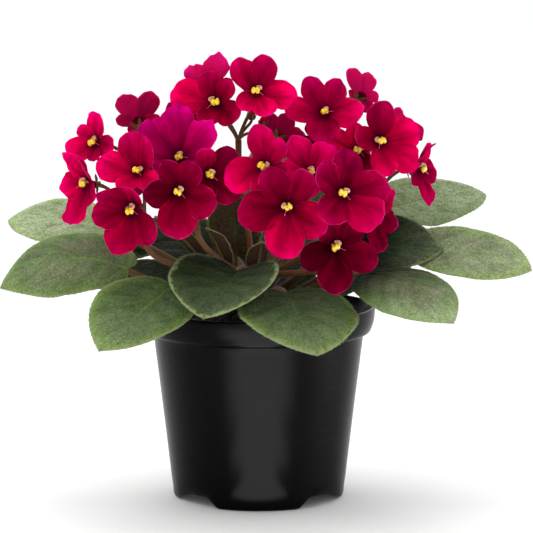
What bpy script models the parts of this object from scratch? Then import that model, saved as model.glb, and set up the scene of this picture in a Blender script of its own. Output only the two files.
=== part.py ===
"""Potted African violet: a nursery pot, potting soil and a flowering rosette.

Metres, +Z up. The origin is on the pot's axis, on the surface that the pot stands on.
Sizes in the tables below are millimetres, and MM turns them into metres.
"""

import math
import random

import bpy
from mathutils import Matrix, Vector

MM = 0.001
SEED = 7
UP = Vector((0, 0, 1))
CLEARANCE = 0.3  # between two solids that touch on the real plant

# Pot: a 10.5 cm thin-walled nursery pot that stands on four shallow feet.
POT_RIM_RADIUS = 52.5
POT_HEIGHT = 86.4
POT_BODY_TOP_RADIUS = 47.4
POT_BODY_MIDDLE = (43.6, 44.0)  # radius and height where the side bulges a little
POT_BODY_BOTTOM_RADIUS = 38.4
POT_RIM_BAND = 12.4
POT_WALL = 1.4
# Feet: (angle round the pot, degrees from its middle to its end, degrees that its slope takes).
POT_FEET = ((-90.0, 27.0, 12.0), (0.0, 8.0, 33.0), (90.0, 27.0, 12.0), (180.0, 8.0, 33.0))
FOOT_ARCH_HEIGHT = 4.6
FOOT_DEPTH = 2.6  # of a foot's ring, from the body's outside to its inside
FOOT_BEVEL = (0.9, 1.6)  # inwards and up, at the outside of a foot
BASE_PLATE_UNDERSIDE = 5.2
DRAIN_HOLES = 4
DRAIN_HOLE_RADIUS = 3.0
DRAIN_HOLE_CIRCLE = 24.0
DRAIN_HOLE_SIDES = 8

# Soil and crown.
SOIL_TOP = 80.0
SOIL_SIDES = 32
SOIL_UNEVENNESS = 0.9
SOIL_HEAP = 2.0  # how much higher the soil is in the middle than at the wall
SOIL_RINGS = (11.0, 22.0, 34.0, 45.0)
SOIL_WALL_GAP = 0.9
SOIL_SHOULDER_DROP = 7.5
CROWN_CENTRE = (-3.0, 2.0)
CROWN_RADIUS = 7.0
CROWN_SHOULDER = 94.0
CROWN_TOP = 98.5
CROWN_SIDES = 14
CROWN_HOLE_DEPTH = 10.0

# Leaves: (name, base of the blade, tip, width, roll, arch, cup, lobe lift, level on the crown).
# Roll lowers the right side, seen from the crown. Arch bows the midrib up. Cup lifts both edges.
LEAVES = (
    ("leaf_01", (-60.5, 36, 113), (-116.2, 46, 119.2), 42, -22, 4, 0, 0, 1),
    ("leaf_02", (-57.5, -14, 104), (-115, -10, 95.5), 42, -35, 9, -2.5, 2.5, 0),
    ("leaf_03", (-37, -45.5, 102), (-67.5, -74.5, 77.5), 50, -12, 0.5, 2.5, 0, 0),
    ("leaf_04", (-9, -45.5, 108), (-23, -81.5, 92.5), 48, -3, 0.5, 7.5, 4, 1),
    ("leaf_05", (11.5, -49.5, 99), (24.5, -98.5, 79.5), 52, -1, 2, 1, 2, 0),
    ("leaf_06", (44.7, -44, 106.3), (82.5, -77, 89.8), 41, 14, 5.5, -2.5, 0, 0),
    ("leaf_07", (43, -17, 116.3), (81, -25, 114.3), 38, 32, 0.5, 2, 0, 1),
    ("leaf_08", (67, -12.5, 117), (118.5, -41.5, 107.5), 35, 28, 0.5, 1, 0, 0),
    ("leaf_09", (58, 32, 126), (105, 42.5, 131.5), 38, 29, 1.5, 0, 3.5, 1),
    ("leaf_10", (14, 27, 115), (8, 57, 158), 40, 0, 3, 2.0, 2, 1),
    ("leaf_11", (34.5, 30, 88.3), (71, 53, 104.5), 49, -3, 4, 1.0, 1, 0),
    ("leaf_12", (-28, 46, 99), (-55, 74.0, 117), 45, 0, 4, 1.0, 2, 0),
    ("leaf_13", (5.5, 42, 88.5), (13, 98.7, 110), 47, 4, 3, 1.0, 1, 0),
    ("leaf_14", (-10, 11, 107), (-12, 19, 138), 26, 0, 2, 2.0, 0, 2),
    ("leaf_15", (-14, -9.5, 107), (-23, -14, 123), 16, 0, 2, 2.0, 0, 2),
    ("leaf_16", (-24, -2, 108), (-46, -13, 128), 15, 0, 2, 2.0, 0, 2),
    ("leaf_17", (-1, -9, 103), (1.5, -15, 117), 11, 0, 1, 1.5, 0, 2),
    ("leaf_18", (-38, 12.5, 91), (-76, 26, 95.5), 43, -16, 3, 1.0, 1, 0),
)
LEAF_LARGE = 30.0  # wider blades get the finer grid
LEAF_ROWS = {True: 10, False: 7}
LEAF_COLUMNS = 2
LEAF_THICKNESS = 1.3
LEAF_NOTCH_WIDTH = 0.30
# A blade's outline: where along it the blade is widest, how full its sides are towards the tip, how
# round the tip is, and how far its lobes reach back beside the petiole.
LEAF_OUTLINE = (0.42, 2.0, 1.1, 0.10)
LEAF_OUTLINES = {
    "leaf_01": (0.48, 2.5, 1.4, 0.12),
    "leaf_02": (0.53, 2.1, 1.15, 0.07),
    "leaf_03": (0.37, 2.2, 1.05, 0.05),
    "leaf_04": (0.38, 2.2, 1.05, 0.16),
    "leaf_05": (0.48, 1.3, 1.15, 0.16),
    "leaf_06": (0.56, 2.0, 1.15, 0.05),
    "leaf_07": (0.39, 1.85, 1.3, 0.10),
    "leaf_08": (0.47, 2.1, 1.3, 0.06),
    "leaf_09": (0.33, 1.75, 1.6, 0.09),
}
LEAF_SCALLOPS = 0.012
LEAF_WAVE = 0.35
PETIOLE_RADIUS = {True: (2.0, 1.5), False: (1.3, 1.0)}
PETIOLE_SIDES = 5
CROWN_LEVELS = (85.0, 89.4, 92.9)

# Blooms: (name, throat, azimuth and elevation it faces, cup, petals).
# Azimuth is from +X, anticlockwise, so 270 faces the front. A petal is its direction from the
# throat in degrees, 90 being up, its length, and degrees that it is folded forwards, if any. A
# single number is a regular bloom's size.
BLOOMS = (
    ("bloom_01", (-19, -16, 179), 262, 20, 0.10,
     ((52, 12), (108, 14), (168, 21), (250, 12), (320, 14))),
    ("bloom_02", (-1, -20, 184), 272, 30, 0.12,
     ((72, 16.5), (120, 16.5), (235, 12), (295, 14), (348, 18.5))),
    ("bloom_03", (29.3, -14, 174), 270, 42, 0.25,
     ((63, 15.5), (117, 16), (177, 18), (264, 17.5), (357, 17.5))),
    ("bloom_04", (53, -32, 163), 288, 18, 0.10, ((13, 19), (85, 17), (165, 12), (277, 16), (326, 20))),
    ("bloom_05", (71.8, -8, 149), 335, 4, 0.16,
     ((60, 12.5), (115, 13, 35), (190, 14), (285, 17), (345, 14))),
    ("bloom_06", (2.5, -46, 153.5), 253, 18, 0.14,
     ((52, 14), (98, 17), (205, 18.5), (275, 14), (340, 12))),
    ("bloom_07", (22.5, -36, 149.5), 285, 28, 0.10,
     ((50, 16.5), (112, 18), (162, 13), (255, 12), (325, 12))),
    ("bloom_08", (12.7, -60, 137.5), 266, 8, 0.06,
     ((61, 17.5), (120, 18.5), (188, 22), (265, 22), (330, 19.5))),
    ("bloom_09", (36, -67, 144), 281, 22, 0.10,
     ((10, 20), (79, 18.5), (130, 16), (240, 15.5), (318, 21))),
    ("bloom_10", (33.3, -57.5, 120.3), 275, 0, 0.08,
     ((45, 14.5), (105, 12), (205, 17.5), (268, 21), (335, 19))),
    ("bloom_11", (43.8, -9, 157), 282, 24, 0.12, ((30, 10), (95, 12), (153, 16), (215, 12), (290, 10))),
    ("bloom_12", (-52, -44, 151), 256, 34, 0.16,
     ((58, 15, 50), (106, 18), (172, 18.5), (240, 13), (320, 12.5))),
    ("bloom_13", (-35, -22, 155), 272, 30, 0.30, ((40, 20), (92, 21), (142, 20), (225, 14), (310, 14))),
    ("bloom_14", (-34, -58, 144), 266, 4, 0.06,
     ((59, 14.5), (112, 14), (188, 15), (270, 20), (334, 18))),
    ("bloom_15", (-53.7, -68, 137.5), 250, -2, 0.10,
     ((70, 15, 50), (143, 17, 50), (193, 18), (249, 21), (305, 17))),
    ("bloom_16", (-75, -36, 145), 220, 8, 0.14, ((60, 13, 40), (117, 15, 25), (190, 16), (251, 20), (320, 12))),
    ("bloom_17", (-21.5, -42, 149.5), 296, 10, 0.10,
     ((38, 16), (100, 12), (185, 11), (255, 13), (315, 17))),
    ("bloom_18", (-54, 4, 170), 100, 35, 0.10,
     ((55, 14), (120, 14.5), (190, 10), (270, 10), (350, 10))),
    ("bloom_19", (-73, -5, 160.5), 238, 8, 0.16,
     ((80, 13), (140, 9.5), (207, 16), (275, 9), (345, 12))),
    ("bloom_20", (-22, 8, 184.5), 92, 38, 0.10,
     ((45, 14), (107, 16.5), (180, 11), (250, 10), (330, 11))),
    ("bloom_21", (47, 14, 180), 60, 25, 0.12, ((68, 13.5), (115, 11), (190, 8), (270, 10), (350, 8))),
    ("bloom_22", (62, 2, 166), 40, 30, 0.10, ((60, 10), (120, 11), (180, 16), (260, 10), (330, 10))),
    ("bloom_23", (49.5, -41, 131), 318, 0, 0.12,
     ((42, 15), (125, 10), (205, 8), (285, 17), (340, 15))),
    ("bloom_24", (9, 15, 162), 80, 16, 0.12, 12.5),
    ("bloom_25", (29, 29, 157), 75, 20, 0.12, 13),
    ("bloom_26", (-34, 0, 168), 268, 55, 0.20, 13.5),
    ("bloom_27", (-52, 41, 143), 140, 26, 0.12, 15.5),
    ("bloom_28", (-17, 60, 135), 102, 14, 0.10, 15.5),
    ("bloom_29", (17, 67, 141), 80, 24, 0.12, 16),
    ("bloom_30", (46, 46, 143), 46, 20, 0.10, 15.5),
)
REGULAR_PETALS = ((58, 0.86), (122, 0.86), (193, 0.98), (270, 1.0), (347, 0.98))
PETAL_BREADTH = 0.47  # half a petal's width, of its length
UPPER_PETAL_BREADTH = 0.42
PETAL_STEPS = (-0.72, -0.36, 0.0, 0.36, 0.72)
PETAL_THICKNESS = 0.7
NOTCH_DEPTH = 0.92  # of the neighbouring petals' reach at the notch
PETAL_WAIST = 0.52
THROAT_RADIUS = 3.2
FOLD_RADIUS = 4.5  # where a folded petal's bend is
THROAT_DEPTH = 1.3
TUBE_RADIUS = 1.7
TUBE_LENGTH = 4.6
ANTHER_SIZE = (2.1, 1.3, 2.0)  # the pair of anthers together
ANTHER_HEIGHT = 0.5

# Flower stalks: (name, angle on the crown, fork, blooms it carries, unopened buds).
STALKS = (
    ("stalk_1", None, (-9, 4, 160.5), (1, 2, 20), ((-3, 1, 170), (2, 8, 166))),
    ("stalk_2", 30, (24, 8, 147), (3, 21, 24, 25, 30), ()),
    ("stalk_3", 352, (54.5, -1, 139), (4, 5, 11, 22), ()),
    ("stalk_4", 326, (34, -36, 117), (9, 10, 23), ()),
    ("stalk_5", 300, (9, -33, 127), (6, 7, 8), ()),
    ("stalk_6", 250, (-27, -29, 127), (13, 14, 17), ()),
    ("stalk_7", 211, (-50, -30, 122), (12, 15, 16), ()),
    ("stalk_8", 158, (-44, 6, 138), (18, 19, 26), ((-62, -4, 151),)),
    ("stalk_9", 108, (-17, 42, 121), (27, 28, 29), ((-4, 54, 129),)),
)
STALK_LEVEL = 95.9
STALK_RADII = (1.5, 1.2)
PEDICEL_RADII = (0.85, 0.75)
STALK_SIDES = 6
SEPALS = 5
SEPAL_LENGTH = 5.2
SEPAL_VALLEY = 1.7  # radius between two sepals
BUD_SIZE = (1.9, 1.9, 3.0)
BUD_STEM_RADII = (0.8, 0.75, 0.7, 0.6)


def clear_scene():
    for obj in list(bpy.data.objects):
        bpy.data.objects.remove(obj)


def material(name, colour, roughness, metallic=0.0):
    made = bpy.data.materials.new(name)
    made.use_nodes = True
    shader = made.node_tree.nodes["Principled BSDF"]
    shader.inputs["Base Color"].default_value = (*colour, 1)
    shader.inputs["Roughness"].default_value = roughness
    shader.inputs["Metallic"].default_value = metallic
    made.diffuse_color = (*colour, 1)
    return made


def new_object(name, points, faces, finish=None):
    """A mesh object in metres, from points in millimetres."""
    mesh = bpy.data.meshes.new(name)
    mesh.from_pydata([tuple(Vector(p) * MM) for p in points], [], faces)
    mesh.validate()
    obj = bpy.data.objects.new(name, mesh)
    bpy.context.scene.collection.objects.link(obj)
    if finish:
        mesh.materials.append(finish)
    return obj


def apply_modifiers(obj):
    graph = bpy.context.evaluated_depsgraph_get()
    made = bpy.data.meshes.new_from_object(obj.evaluated_get(graph))
    made.name = obj.name
    obj.modifiers.clear()
    obj.data = made


def join(obj, others, operation="UNION"):
    """Joins or cuts obj with the other closed solids, and removes them."""
    group = bpy.data.collections.new(obj.name + "_parts")
    for other in others:
        group.objects.link(other)
    modifier = obj.modifiers.new("join", "BOOLEAN")
    modifier.operation = operation
    modifier.operand_type = "COLLECTION"
    modifier.collection = group
    modifier.solver = "MANIFOLD"
    bpy.context.view_layer.update()
    apply_modifiers(obj)
    for other in others:
        bpy.data.objects.remove(other)
    bpy.data.collections.remove(group)
    return obj


def smoothstep(value):
    value = min(1.0, max(0.0, value))
    return value * value * (3 - 2 * value)


def bezier(p0, p1, p2, p3, t):
    a, b, c, d = (Vector(p) for p in (p0, p1, p2, p3))
    return a * (1 - t) ** 3 + b * 3 * t * (1 - t) ** 2 + c * 3 * t * t * (1 - t) + d * t**3


def ring_faces(first, second, count):
    """Triangles between two rings of count points, whose first indices are given."""
    faces = []
    for i in range(count):
        j = (i + 1) % count
        faces.append((first + i, first + j, second + j))
        faces.append((first + i, second + j, second + i))
    return faces


def turned(name, profile, angles, finish=None):
    """A solid of revolution. profile(angle) gives (radius, height) pairs, from axis to axis."""
    columns = [profile(angle) for angle in angles]
    rings = len(columns[0])
    points = [Vector((0, 0, columns[0][0][1]))]
    for ring in range(1, rings - 1):
        for angle, column in zip(angles, columns):
            radius, height = column[ring]
            turn = math.radians(angle)
            points.append(Vector((radius * math.cos(turn), radius * math.sin(turn), height)))
    points.append(Vector((0, 0, columns[0][-1][1])))
    count, last = len(angles), len(points) - 1
    faces = []
    for i in range(count):
        j = (i + 1) % count
        faces.append((0, 1 + j, 1 + i))
        faces.append((last, last - count + i, last - count + j))
    for ring in range(rings - 3):
        faces += ring_faces(1 + ring * count, 1 + (ring + 1) * count, count)
    return new_object(name, points, faces, finish)


def tube(name, path, radii, sides, finish=None, heading=None):
    """A closed tube along a path, with a radius for each point. heading faces its first end."""
    path = [Vector(p) for p in path]
    points, side = [], None
    for i, centre in enumerate(path):
        ahead = path[min(i + 1, len(path) - 1)] - path[max(i - 1, 0)]
        if i == 0 and heading:
            ahead = heading.copy()
        ahead.normalize()
        if side is None:
            side = ahead.orthogonal()
        side = (side - ahead * side.dot(ahead)).normalized()
        other = ahead.cross(side)
        for k in range(sides):
            turn = 2 * math.pi * k / sides
            points.append(centre + (side * math.cos(turn) + other * math.sin(turn)) * radii[i])
    faces = []
    for i in range(len(path) - 1):
        faces += ring_faces(i * sides, (i + 1) * sides, sides)
    last = (len(path) - 1) * sides
    for k in range(1, sides - 1):
        faces.append((0, k + 1, k))
        faces.append((last, last + k, last + k + 1))
    return new_object(name, points, faces, finish)


def seed(name, centre, size, frame, sides):
    """A pointed ellipsoid whose long half-axis, size[2], lies along the frame's third column."""
    points = [Vector((0, 0, -size[2]))]
    for height, girth in ((-0.45, 0.85), (0.35, 0.9)):
        for k in range(sides):
            turn = 2 * math.pi * k / sides
            x, y = math.cos(turn) * size[0] * girth, math.sin(turn) * size[1] * girth
            points.append(Vector((x, y, height * size[2])))
    points.append(Vector((0, 0, size[2])))
    last = len(points) - 1
    faces = ring_faces(1, 1 + sides, sides)
    for k in range(sides):
        j = (k + 1) % sides
        faces += [(0, 1 + j, 1 + k), (last, last - sides + k, last - sides + j)]
    return new_object(name, [Vector(centre) + frame @ p for p in points], faces)


def blade(name, middle, normals, faces, border, thickness, finish=None):
    """A thin solid round a middle surface, split into triangles alike on both faces."""
    count = len(middle)
    half = thickness / 2
    points = [p + n * half for p, n in zip(middle, normals)]
    points += [p - n * half for p, n in zip(middle, normals)]
    solid = list(faces)
    solid += [(a + count, c + count, b + count) for a, b, c in faces]
    for i, a in enumerate(border):
        b = border[(i + 1) % len(border)]
        solid.append((b, a, a + count))
        solid.append((b, a + count, b + count))
    return new_object(name, points, solid, finish)


def foot_height(angle):
    """Height of the pot wall's lower edge: zero on the feet, and an arch between them."""
    shares = []
    for middle, half, slope in POT_FEET:
        from_foot = abs((angle - middle + 180) % 360 - 180)
        shares.append(smoothstep((from_foot - half) / slope))
    return FOOT_ARCH_HEIGHT * min(shares)


def pot_angles():
    """Angles round the pot, closer together where a foot rises into its arch."""
    angles = []
    for middle, half, slope in POT_FEET:
        steps = (0.5, 1.0) if slope < half else (1 / 3, 2 / 3, 1.0)
        beside = [half / 2] if slope < half else []
        beside += [half] + [half + slope * share for share in steps]
        angles += [middle] + [middle + a for a in beside] + [middle - a for a in beside]
    return sorted(angles)


def pot_profile(angle):
    foot = foot_height(angle)
    rim_foot = POT_HEIGHT - POT_RIM_BAND
    plate_top = BASE_PLATE_UNDERSIDE + POT_WALL
    return (
        (0, BASE_PLATE_UNDERSIDE),
        (POT_BODY_BOTTOM_RADIUS - FOOT_DEPTH - 0.2, BASE_PLATE_UNDERSIDE),
        (POT_BODY_BOTTOM_RADIUS - FOOT_DEPTH, foot),
        (POT_BODY_BOTTOM_RADIUS - FOOT_BEVEL[0], foot),
        (POT_BODY_BOTTOM_RADIUS, foot + FOOT_BEVEL[1]),
        POT_BODY_MIDDLE,
        (POT_BODY_TOP_RADIUS, rim_foot),
        (POT_BODY_TOP_RADIUS + 0.8, rim_foot + 0.4),
        (POT_RIM_RADIUS - 1.6, rim_foot + 2.6),
        (POT_RIM_RADIUS - 0.2, rim_foot + 5.6),
        (POT_RIM_RADIUS, POT_HEIGHT - 0.5),
        (POT_RIM_RADIUS - 0.5, POT_HEIGHT),
        (POT_RIM_RADIUS - POT_WALL - 0.3, POT_HEIGHT),
        (POT_RIM_RADIUS - POT_WALL - 0.6, rim_foot + 6.0),
        (POT_BODY_TOP_RADIUS - POT_WALL, rim_foot - 0.6),
        (POT_BODY_MIDDLE[0] - POT_WALL, POT_BODY_MIDDLE[1]),
        (POT_BODY_BOTTOM_RADIUS - POT_WALL + 0.6, plate_top),
        (0, plate_top),
    )


def make_pot(finish):
    pot = turned("pot", pot_profile, pot_angles(), finish)
    drills = []
    for k in range(DRAIN_HOLES):
        turn = math.radians(360 * k / DRAIN_HOLES)
        x, y = DRAIN_HOLE_CIRCLE * math.cos(turn), DRAIN_HOLE_CIRCLE * math.sin(turn)
        hole = [(x, y, BASE_PLATE_UNDERSIDE - 1), (x, y, BASE_PLATE_UNDERSIDE + POT_WALL + 1)]
        drills.append(tube(f"drill_{k}", hole, (DRAIN_HOLE_RADIUS,) * 2, DRAIN_HOLE_SIDES))
    return join(pot, drills, "DIFFERENCE")


def wall_inside(height):
    """Inner radius of the pot at a height, below its rim."""
    low = (POT_BODY_BOTTOM_RADIUS - POT_WALL + 0.6, BASE_PLATE_UNDERSIDE + POT_WALL)
    middle = (POT_BODY_MIDDLE[0] - POT_WALL, POT_BODY_MIDDLE[1])
    high = (POT_BODY_TOP_RADIUS - POT_WALL, POT_HEIGHT - POT_RIM_BAND - 0.6)
    first, last = (low, middle) if height < middle[1] else (middle, high)
    share = min(1.0, (height - first[1]) / (last[1] - first[1]))
    return first[0] + (last[0] - first[0]) * share


def soil_height(radius, angle, draw):
    """Height of the soil's surface: low at the wall, a little heaped and crumbly inside."""
    heap = SOIL_HEAP * (1 - (radius / POT_BODY_TOP_RADIUS) ** 2)
    crumbs = draw.uniform(-1, 1) * SOIL_UNEVENNESS if radius > CROWN_RADIUS + 4 else 0.0
    return SOIL_TOP - 1.6 + heap + crumbs + 0.4 * math.sin(math.radians(3 * angle))


def make_soil(finish):
    """Potting soil that fills the pot, with a plain hole for the crown's stem."""
    draw = random.Random(SEED)
    turns = [360.0 * k / SOIL_SIDES for k in range(SOIL_SIDES)]
    floor = BASE_PLATE_UNDERSIDE + POT_WALL + CLEARANCE
    shoulder = SOIL_TOP - SOIL_SHOULDER_DROP
    tops = {}
    for ring, radius in enumerate(SOIL_RINGS):
        for turn in turns:
            tops[ring, turn] = (radius, soil_height(radius, turn, draw))

    def profile(turn):
        return (
            (0, floor),
            (wall_inside(floor) - SOIL_WALL_GAP, floor),
            (wall_inside(POT_BODY_MIDDLE[1]) - SOIL_WALL_GAP, POT_BODY_MIDDLE[1]),
            (wall_inside(shoulder) - SOIL_WALL_GAP, shoulder),
            *(tops[ring, turn] for ring in (3, 2, 1, 0)),
            (0, SOIL_TOP),
        )

    soil = turned("soil", profile, turns, finish)
    x, y = CROWN_CENTRE
    hole = [(x, y, SOIL_TOP - CROWN_HOLE_DEPTH), (x, y, SOIL_TOP + 8)]
    drill = tube("crown_hole", hole, (CROWN_RADIUS + CLEARANCE,) * 2, CROWN_SIDES)
    return join(soil, [drill], "DIFFERENCE")


def crown_radius(height):
    """Radius of the crown: nearly straight up to its shoulder, then drawn in to its top."""
    below = min(height, CROWN_SHOULDER)
    above = max(0.0, height - CROWN_SHOULDER) / (CROWN_TOP - CROWN_SHOULDER)
    return CROWN_RADIUS - 0.08 * (below - SOIL_TOP) - 3.6 * above


def make_crown(finish):
    """The short thick stem that every leaf and flower stalk grows from."""
    x, y = CROWN_CENTRE
    heights = (SOIL_TOP - CROWN_HOLE_DEPTH + CLEARANCE, SOIL_TOP, CROWN_SHOULDER, CROWN_TOP)
    radii = (CROWN_RADIUS - 0.3, *(crown_radius(z) for z in heights[1:]))
    return tube("crown", [(x, y, z) for z in heights], radii, CROWN_SIDES, finish)


def crown_point(angle, height):
    """A point just outside the crown and the way it faces. No angle means its top."""
    if angle is None:
        return Vector((*CROWN_CENTRE, CROWN_TOP + CLEARANCE)), UP.copy()
    turn = math.radians(angle)
    out = Vector((math.cos(turn), math.sin(turn), 0))
    return Vector((*CROWN_CENTRE, height)) + out * (crown_radius(height - 1.5) + CLEARANCE), out


def leaf_edge(turn, half_width, outline, scallops):
    """A point of a blade's outline, in shares of its length: notched base, bowed sides, blunt tip."""
    widest, fullness, roundness, lobe = outline
    swing, out = math.cos(turn), half_width * math.sin(turn)
    if swing > 0:
        reach = 1 - widest
        out = half_width * (1 - swing**fullness) ** (1 / roundness)
    else:
        reach = widest + lobe * (1 - math.exp(-(((math.pi - turn) / LEAF_NOTCH_WIDTH) ** 2)))
    grown = 1 + scallops * LEAF_SCALLOPS
    return Vector((widest + reach * swing * grown, out * grown))


class Spine:
    """A leaf's midrib in space, with the blade's side and upward directions along it."""

    def __init__(self, base, tip, roll, arch):
        self.base, self.tip, self.arch = Vector(base), Vector(tip), arch
        self.roll = math.radians(roll)

    def at(self, share):
        rise = UP * (4 * self.arch * share * (1 - share))
        return self.base + (self.tip - self.base) * share + rise

    def frame(self, share):
        ahead = (self.at(share + 0.01) - self.at(share - 0.01)).normalized()
        side = ahead.cross(UP).normalized()
        normal = side.cross(ahead)
        turned_side = side * math.cos(self.roll) - normal * math.sin(self.roll)
        return ahead, turned_side, turned_side.cross(ahead)


def make_leaf(name, base, tip, width, roll, arch, cup, lift, level, angle, finish, draw):
    """One leaf: a heart-shaped waved blade, fused with the petiole that carries it."""
    large = width > LEAF_LARGE
    rows, columns = LEAF_ROWS[large], LEAF_COLUMNS
    spine = Spine(base, tip, roll, arch)
    length = (spine.tip - spine.base).length
    half_width = width / length / 2
    phase = draw.uniform(0, 2 * math.pi)
    flat, places = [], {}

    def place(row, column, side):
        """Index of a grid point. The notch and the tip are single points on the midrib."""
        if column == 0 or row in (0, rows):
            column, side = 0, 0
        key = (row, column, side)
        if key not in places:
            share = (row / rows) ** 0.95
            turn = math.pi * (1 - row / rows) ** 1.15
            scallop = (1 if row % 2 else -1) if 0 < row < rows else 0
            edge = leaf_edge(turn, half_width, LEAF_OUTLINES.get(name, LEAF_OUTLINE), scallop)
            out = column / columns
            along = Vector((share, 0)).lerp(edge, out)
            spread = along.y / half_width
            rise = cup * spread**1.6
            rise += lift * spread * max(0.0, 1 - max(along.x, 0) / 0.4)
            rise += LEAF_WAVE * spread**2 * math.sin(phase + side * 1.3 + row * 1.9)
            places[key] = len(flat)
            flat.append((along.x, along.y * side * length, rise))
        return places[key]

    faces = []
    for side in (-1, 1):
        for row in range(rows):
            for column in range(columns):
                a, b = place(row, column, side), place(row + 1, column, side)
                c, d = place(row + 1, column + 1, side), place(row, column + 1, side)
                for face in ((a, b, c), (a, c, d)):
                    if len(set(face)) == 3:
                        faces.append(face if side < 0 else face[::-1])
    border = [place(row, columns, 1) for row in range(rows)]
    border += [place(row, columns, -1) for row in range(rows, 0, -1)]
    middle, normals = [], []
    for share, sideways, rise in flat:
        _, side, normal = spine.frame(share)
        middle.append(spine.at(share) + side * sideways + normal * rise)
        normals.append(normal)
    leaf = blade(name, middle, normals, faces, border, LEAF_THICKNESS, finish)

    start, out = crown_point(angle, CROWN_LEVELS[level])
    ahead, _, normal = spine.frame(0)
    reach = (spine.base - start).length
    below = normal * (LEAF_THICKNESS * 0.5)
    path = []
    for step in range(5):
        t = step / 4
        away = start + out * reach * 0.3 + UP * reach * 0.08
        path.append(bezier(start, away, spine.base - ahead * reach * 0.35 - below, spine.base - below, t))
    path += [spine.at(share) - spine.frame(share)[2] * 0.5 for share in (0.14, 0.3)]
    first, last = PETIOLE_RADIUS[large]
    radii = [first + (last - first) * k / 4 for k in range(5)] + [last * 0.8, last * 0.45]
    petiole = tube(name + "_petiole", path, radii, PETIOLE_SIDES, heading=out)
    return join(leaf, [petiole])


def bloom_frame(azimuth, elevation):
    """Axes of a bloom: its third column is the way that it faces, its second is its top."""
    a, e = math.radians(azimuth), math.radians(elevation)
    facing = Vector((math.cos(a) * math.cos(e), math.sin(a) * math.cos(e), math.sin(e)))
    right = UP.cross(facing).normalized()
    return Matrix((right, facing.cross(right), facing)).transposed()


def petal_edge(length, lean, upper):
    """Radius of a petal's round outline, at an angle from its own axis."""
    breadth = length * (UPPER_PETAL_BREADTH if upper else PETAL_BREADTH)
    centre = length - breadth
    inside = breadth**2 - (centre * math.sin(lean)) ** 2
    return centre * math.cos(lean) + math.sqrt(max(inside, 0.0))


def petal_height(share, across, cup, upper, wave, kind):
    """Height of a petal over the throat, of its length: share along it, across from its axis."""
    rise = cup * share**1.5 * (1.5 if upper else 0.75)
    fold = 0.07 * share * (1 - across**2)
    curl = -0.05 * smoothstep((share - 0.7) / 0.3)
    return rise + fold + curl - 0.05 + wave * share**2 * math.sin(3 * across + 2 * kind)


def corolla(name, cup, petals, draw, finish):
    """Five fused petals with notches between them, on a short tube. Built round the origin."""
    if isinstance(petals, (int, float)):
        petals = [(turn, length * petals * draw.uniform(0.94, 1.04)) for turn, length in REGULAR_PETALS]
    wave = draw.uniform(0.02, 0.05)
    points, outer, middle, inner = [], [], [], []

    def add(turn, radius, across, kind):
        direction, length, *folded = petals[kind]
        upper = 20 < direction < 160
        rise = length * petal_height(radius / length, across, cup, upper, wave, kind)
        fold = math.radians(sum(folded)) * (1 - across**4)
        past = max(0.0, radius - FOLD_RADIUS)
        radius += past * (math.cos(fold) - 1)
        rise += past * math.sin(fold)
        points.append(Vector((radius * math.cos(turn), radius * math.sin(turn), rise)))
        return len(points) - 1

    for kind, (direction, length, *_) in enumerate(petals):
        beyond, beyond_length, *_ = petals[(kind + 1) % 5]
        after = (beyond - direction) % 360
        before = (direction - petals[kind - 1][0]) % 360
        upper = 20 < direction < 160
        axis = math.radians(direction)
        for step in PETAL_STEPS:
            lean = math.radians(step * (after if step > 0 else before) / 2)
            outer.append(add(axis + lean, petal_edge(length, lean, upper), step, kind))
        half = math.radians(after / 2)
        notch = min(petal_edge(length, half, upper), petal_edge(beyond_length, half, upper))
        outer.append(add(axis + half, notch * NOTCH_DEPTH, 1, kind))
        waist = min(PETAL_WAIST * length, notch * NOTCH_DEPTH * 0.9)
        middle.append(add(axis - math.radians(before * 0.24), waist, -0.5, kind))
        middle.append(add(axis + math.radians(after * 0.24), waist, 0.5, kind))
        inner.append(add(axis, THROAT_RADIUS, 0, kind))
    centre = len(points)
    points.append(-UP * THROAT_DEPTH)

    faces = []
    rim = len(PETAL_STEPS) + 1
    for kind in range(5):
        o = [outer[kind * rim - 1], *outer[kind * rim:(kind + 1) * rim]]
        m0, m1 = middle[2 * kind], middle[2 * kind + 1]
        n0 = middle[(2 * kind + 2) % 10]
        i0, i1 = inner[kind], inner[(kind + 1) % 5]
        faces += [(m0, o[0], o[1]), (m0, o[1], o[2]), (m0, o[2], o[3])]
        faces += [(m0, o[3], m1), (m1, o[3], o[4]), (m1, o[4], o[5]), (m1, o[5], o[6])]
        faces += [(m1, o[6], n0), (i0, m0, m1), (i0, m1, i1), (i1, m1, n0)]
        faces.append((centre, i0, i1))
    count = len(points)
    half = UP * (PETAL_THICKNESS / 2)
    top = [p + half for p in points]
    low = [p - half for p in points]
    low[centre] = -UP * TUBE_LENGTH
    solid = faces + [(a + count, c + count, b + count) for a, b, c in faces if a != centre]
    for i, a in enumerate(outer):
        b = outer[(i + 1) % len(outer)]
        solid += [(b, a, a + count), (b, a + count, b + count)]
    foot = []
    for direction, *_ in petals:
        turn = math.radians(direction)
        foot.append(Vector((math.cos(turn), math.sin(turn), 0)) * TUBE_RADIUS - UP * TUBE_LENGTH)
    first = 2 * count
    for kind in range(5):
        j = (kind + 1) % 5
        a, b = inner[kind] + count, inner[j] + count
        solid += [(a, first + kind, b), (b, first + kind, first + j)]
        solid.append((centre + count, first + j, first + kind))
    return new_object(name, top + low + foot, solid, finish)


def make_bloom(name, throat, azimuth, elevation, cup, petals, draw, finish):
    """A bloom: the corolla, fused with its pair of anthers."""
    flower = corolla(name, cup, petals, draw, finish)
    lean = Matrix.Rotation(0.35, 3, "X")
    anthers = seed(name + "_anthers", (0, -0.4, ANTHER_HEIGHT), ANTHER_SIZE, lean, 6)
    join(flower, [anthers])
    frame = bloom_frame(azimuth, elevation).to_4x4()
    flower.data.transform(Matrix.Translation(Vector(throat) * MM) @ frame)
    return flower


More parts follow.
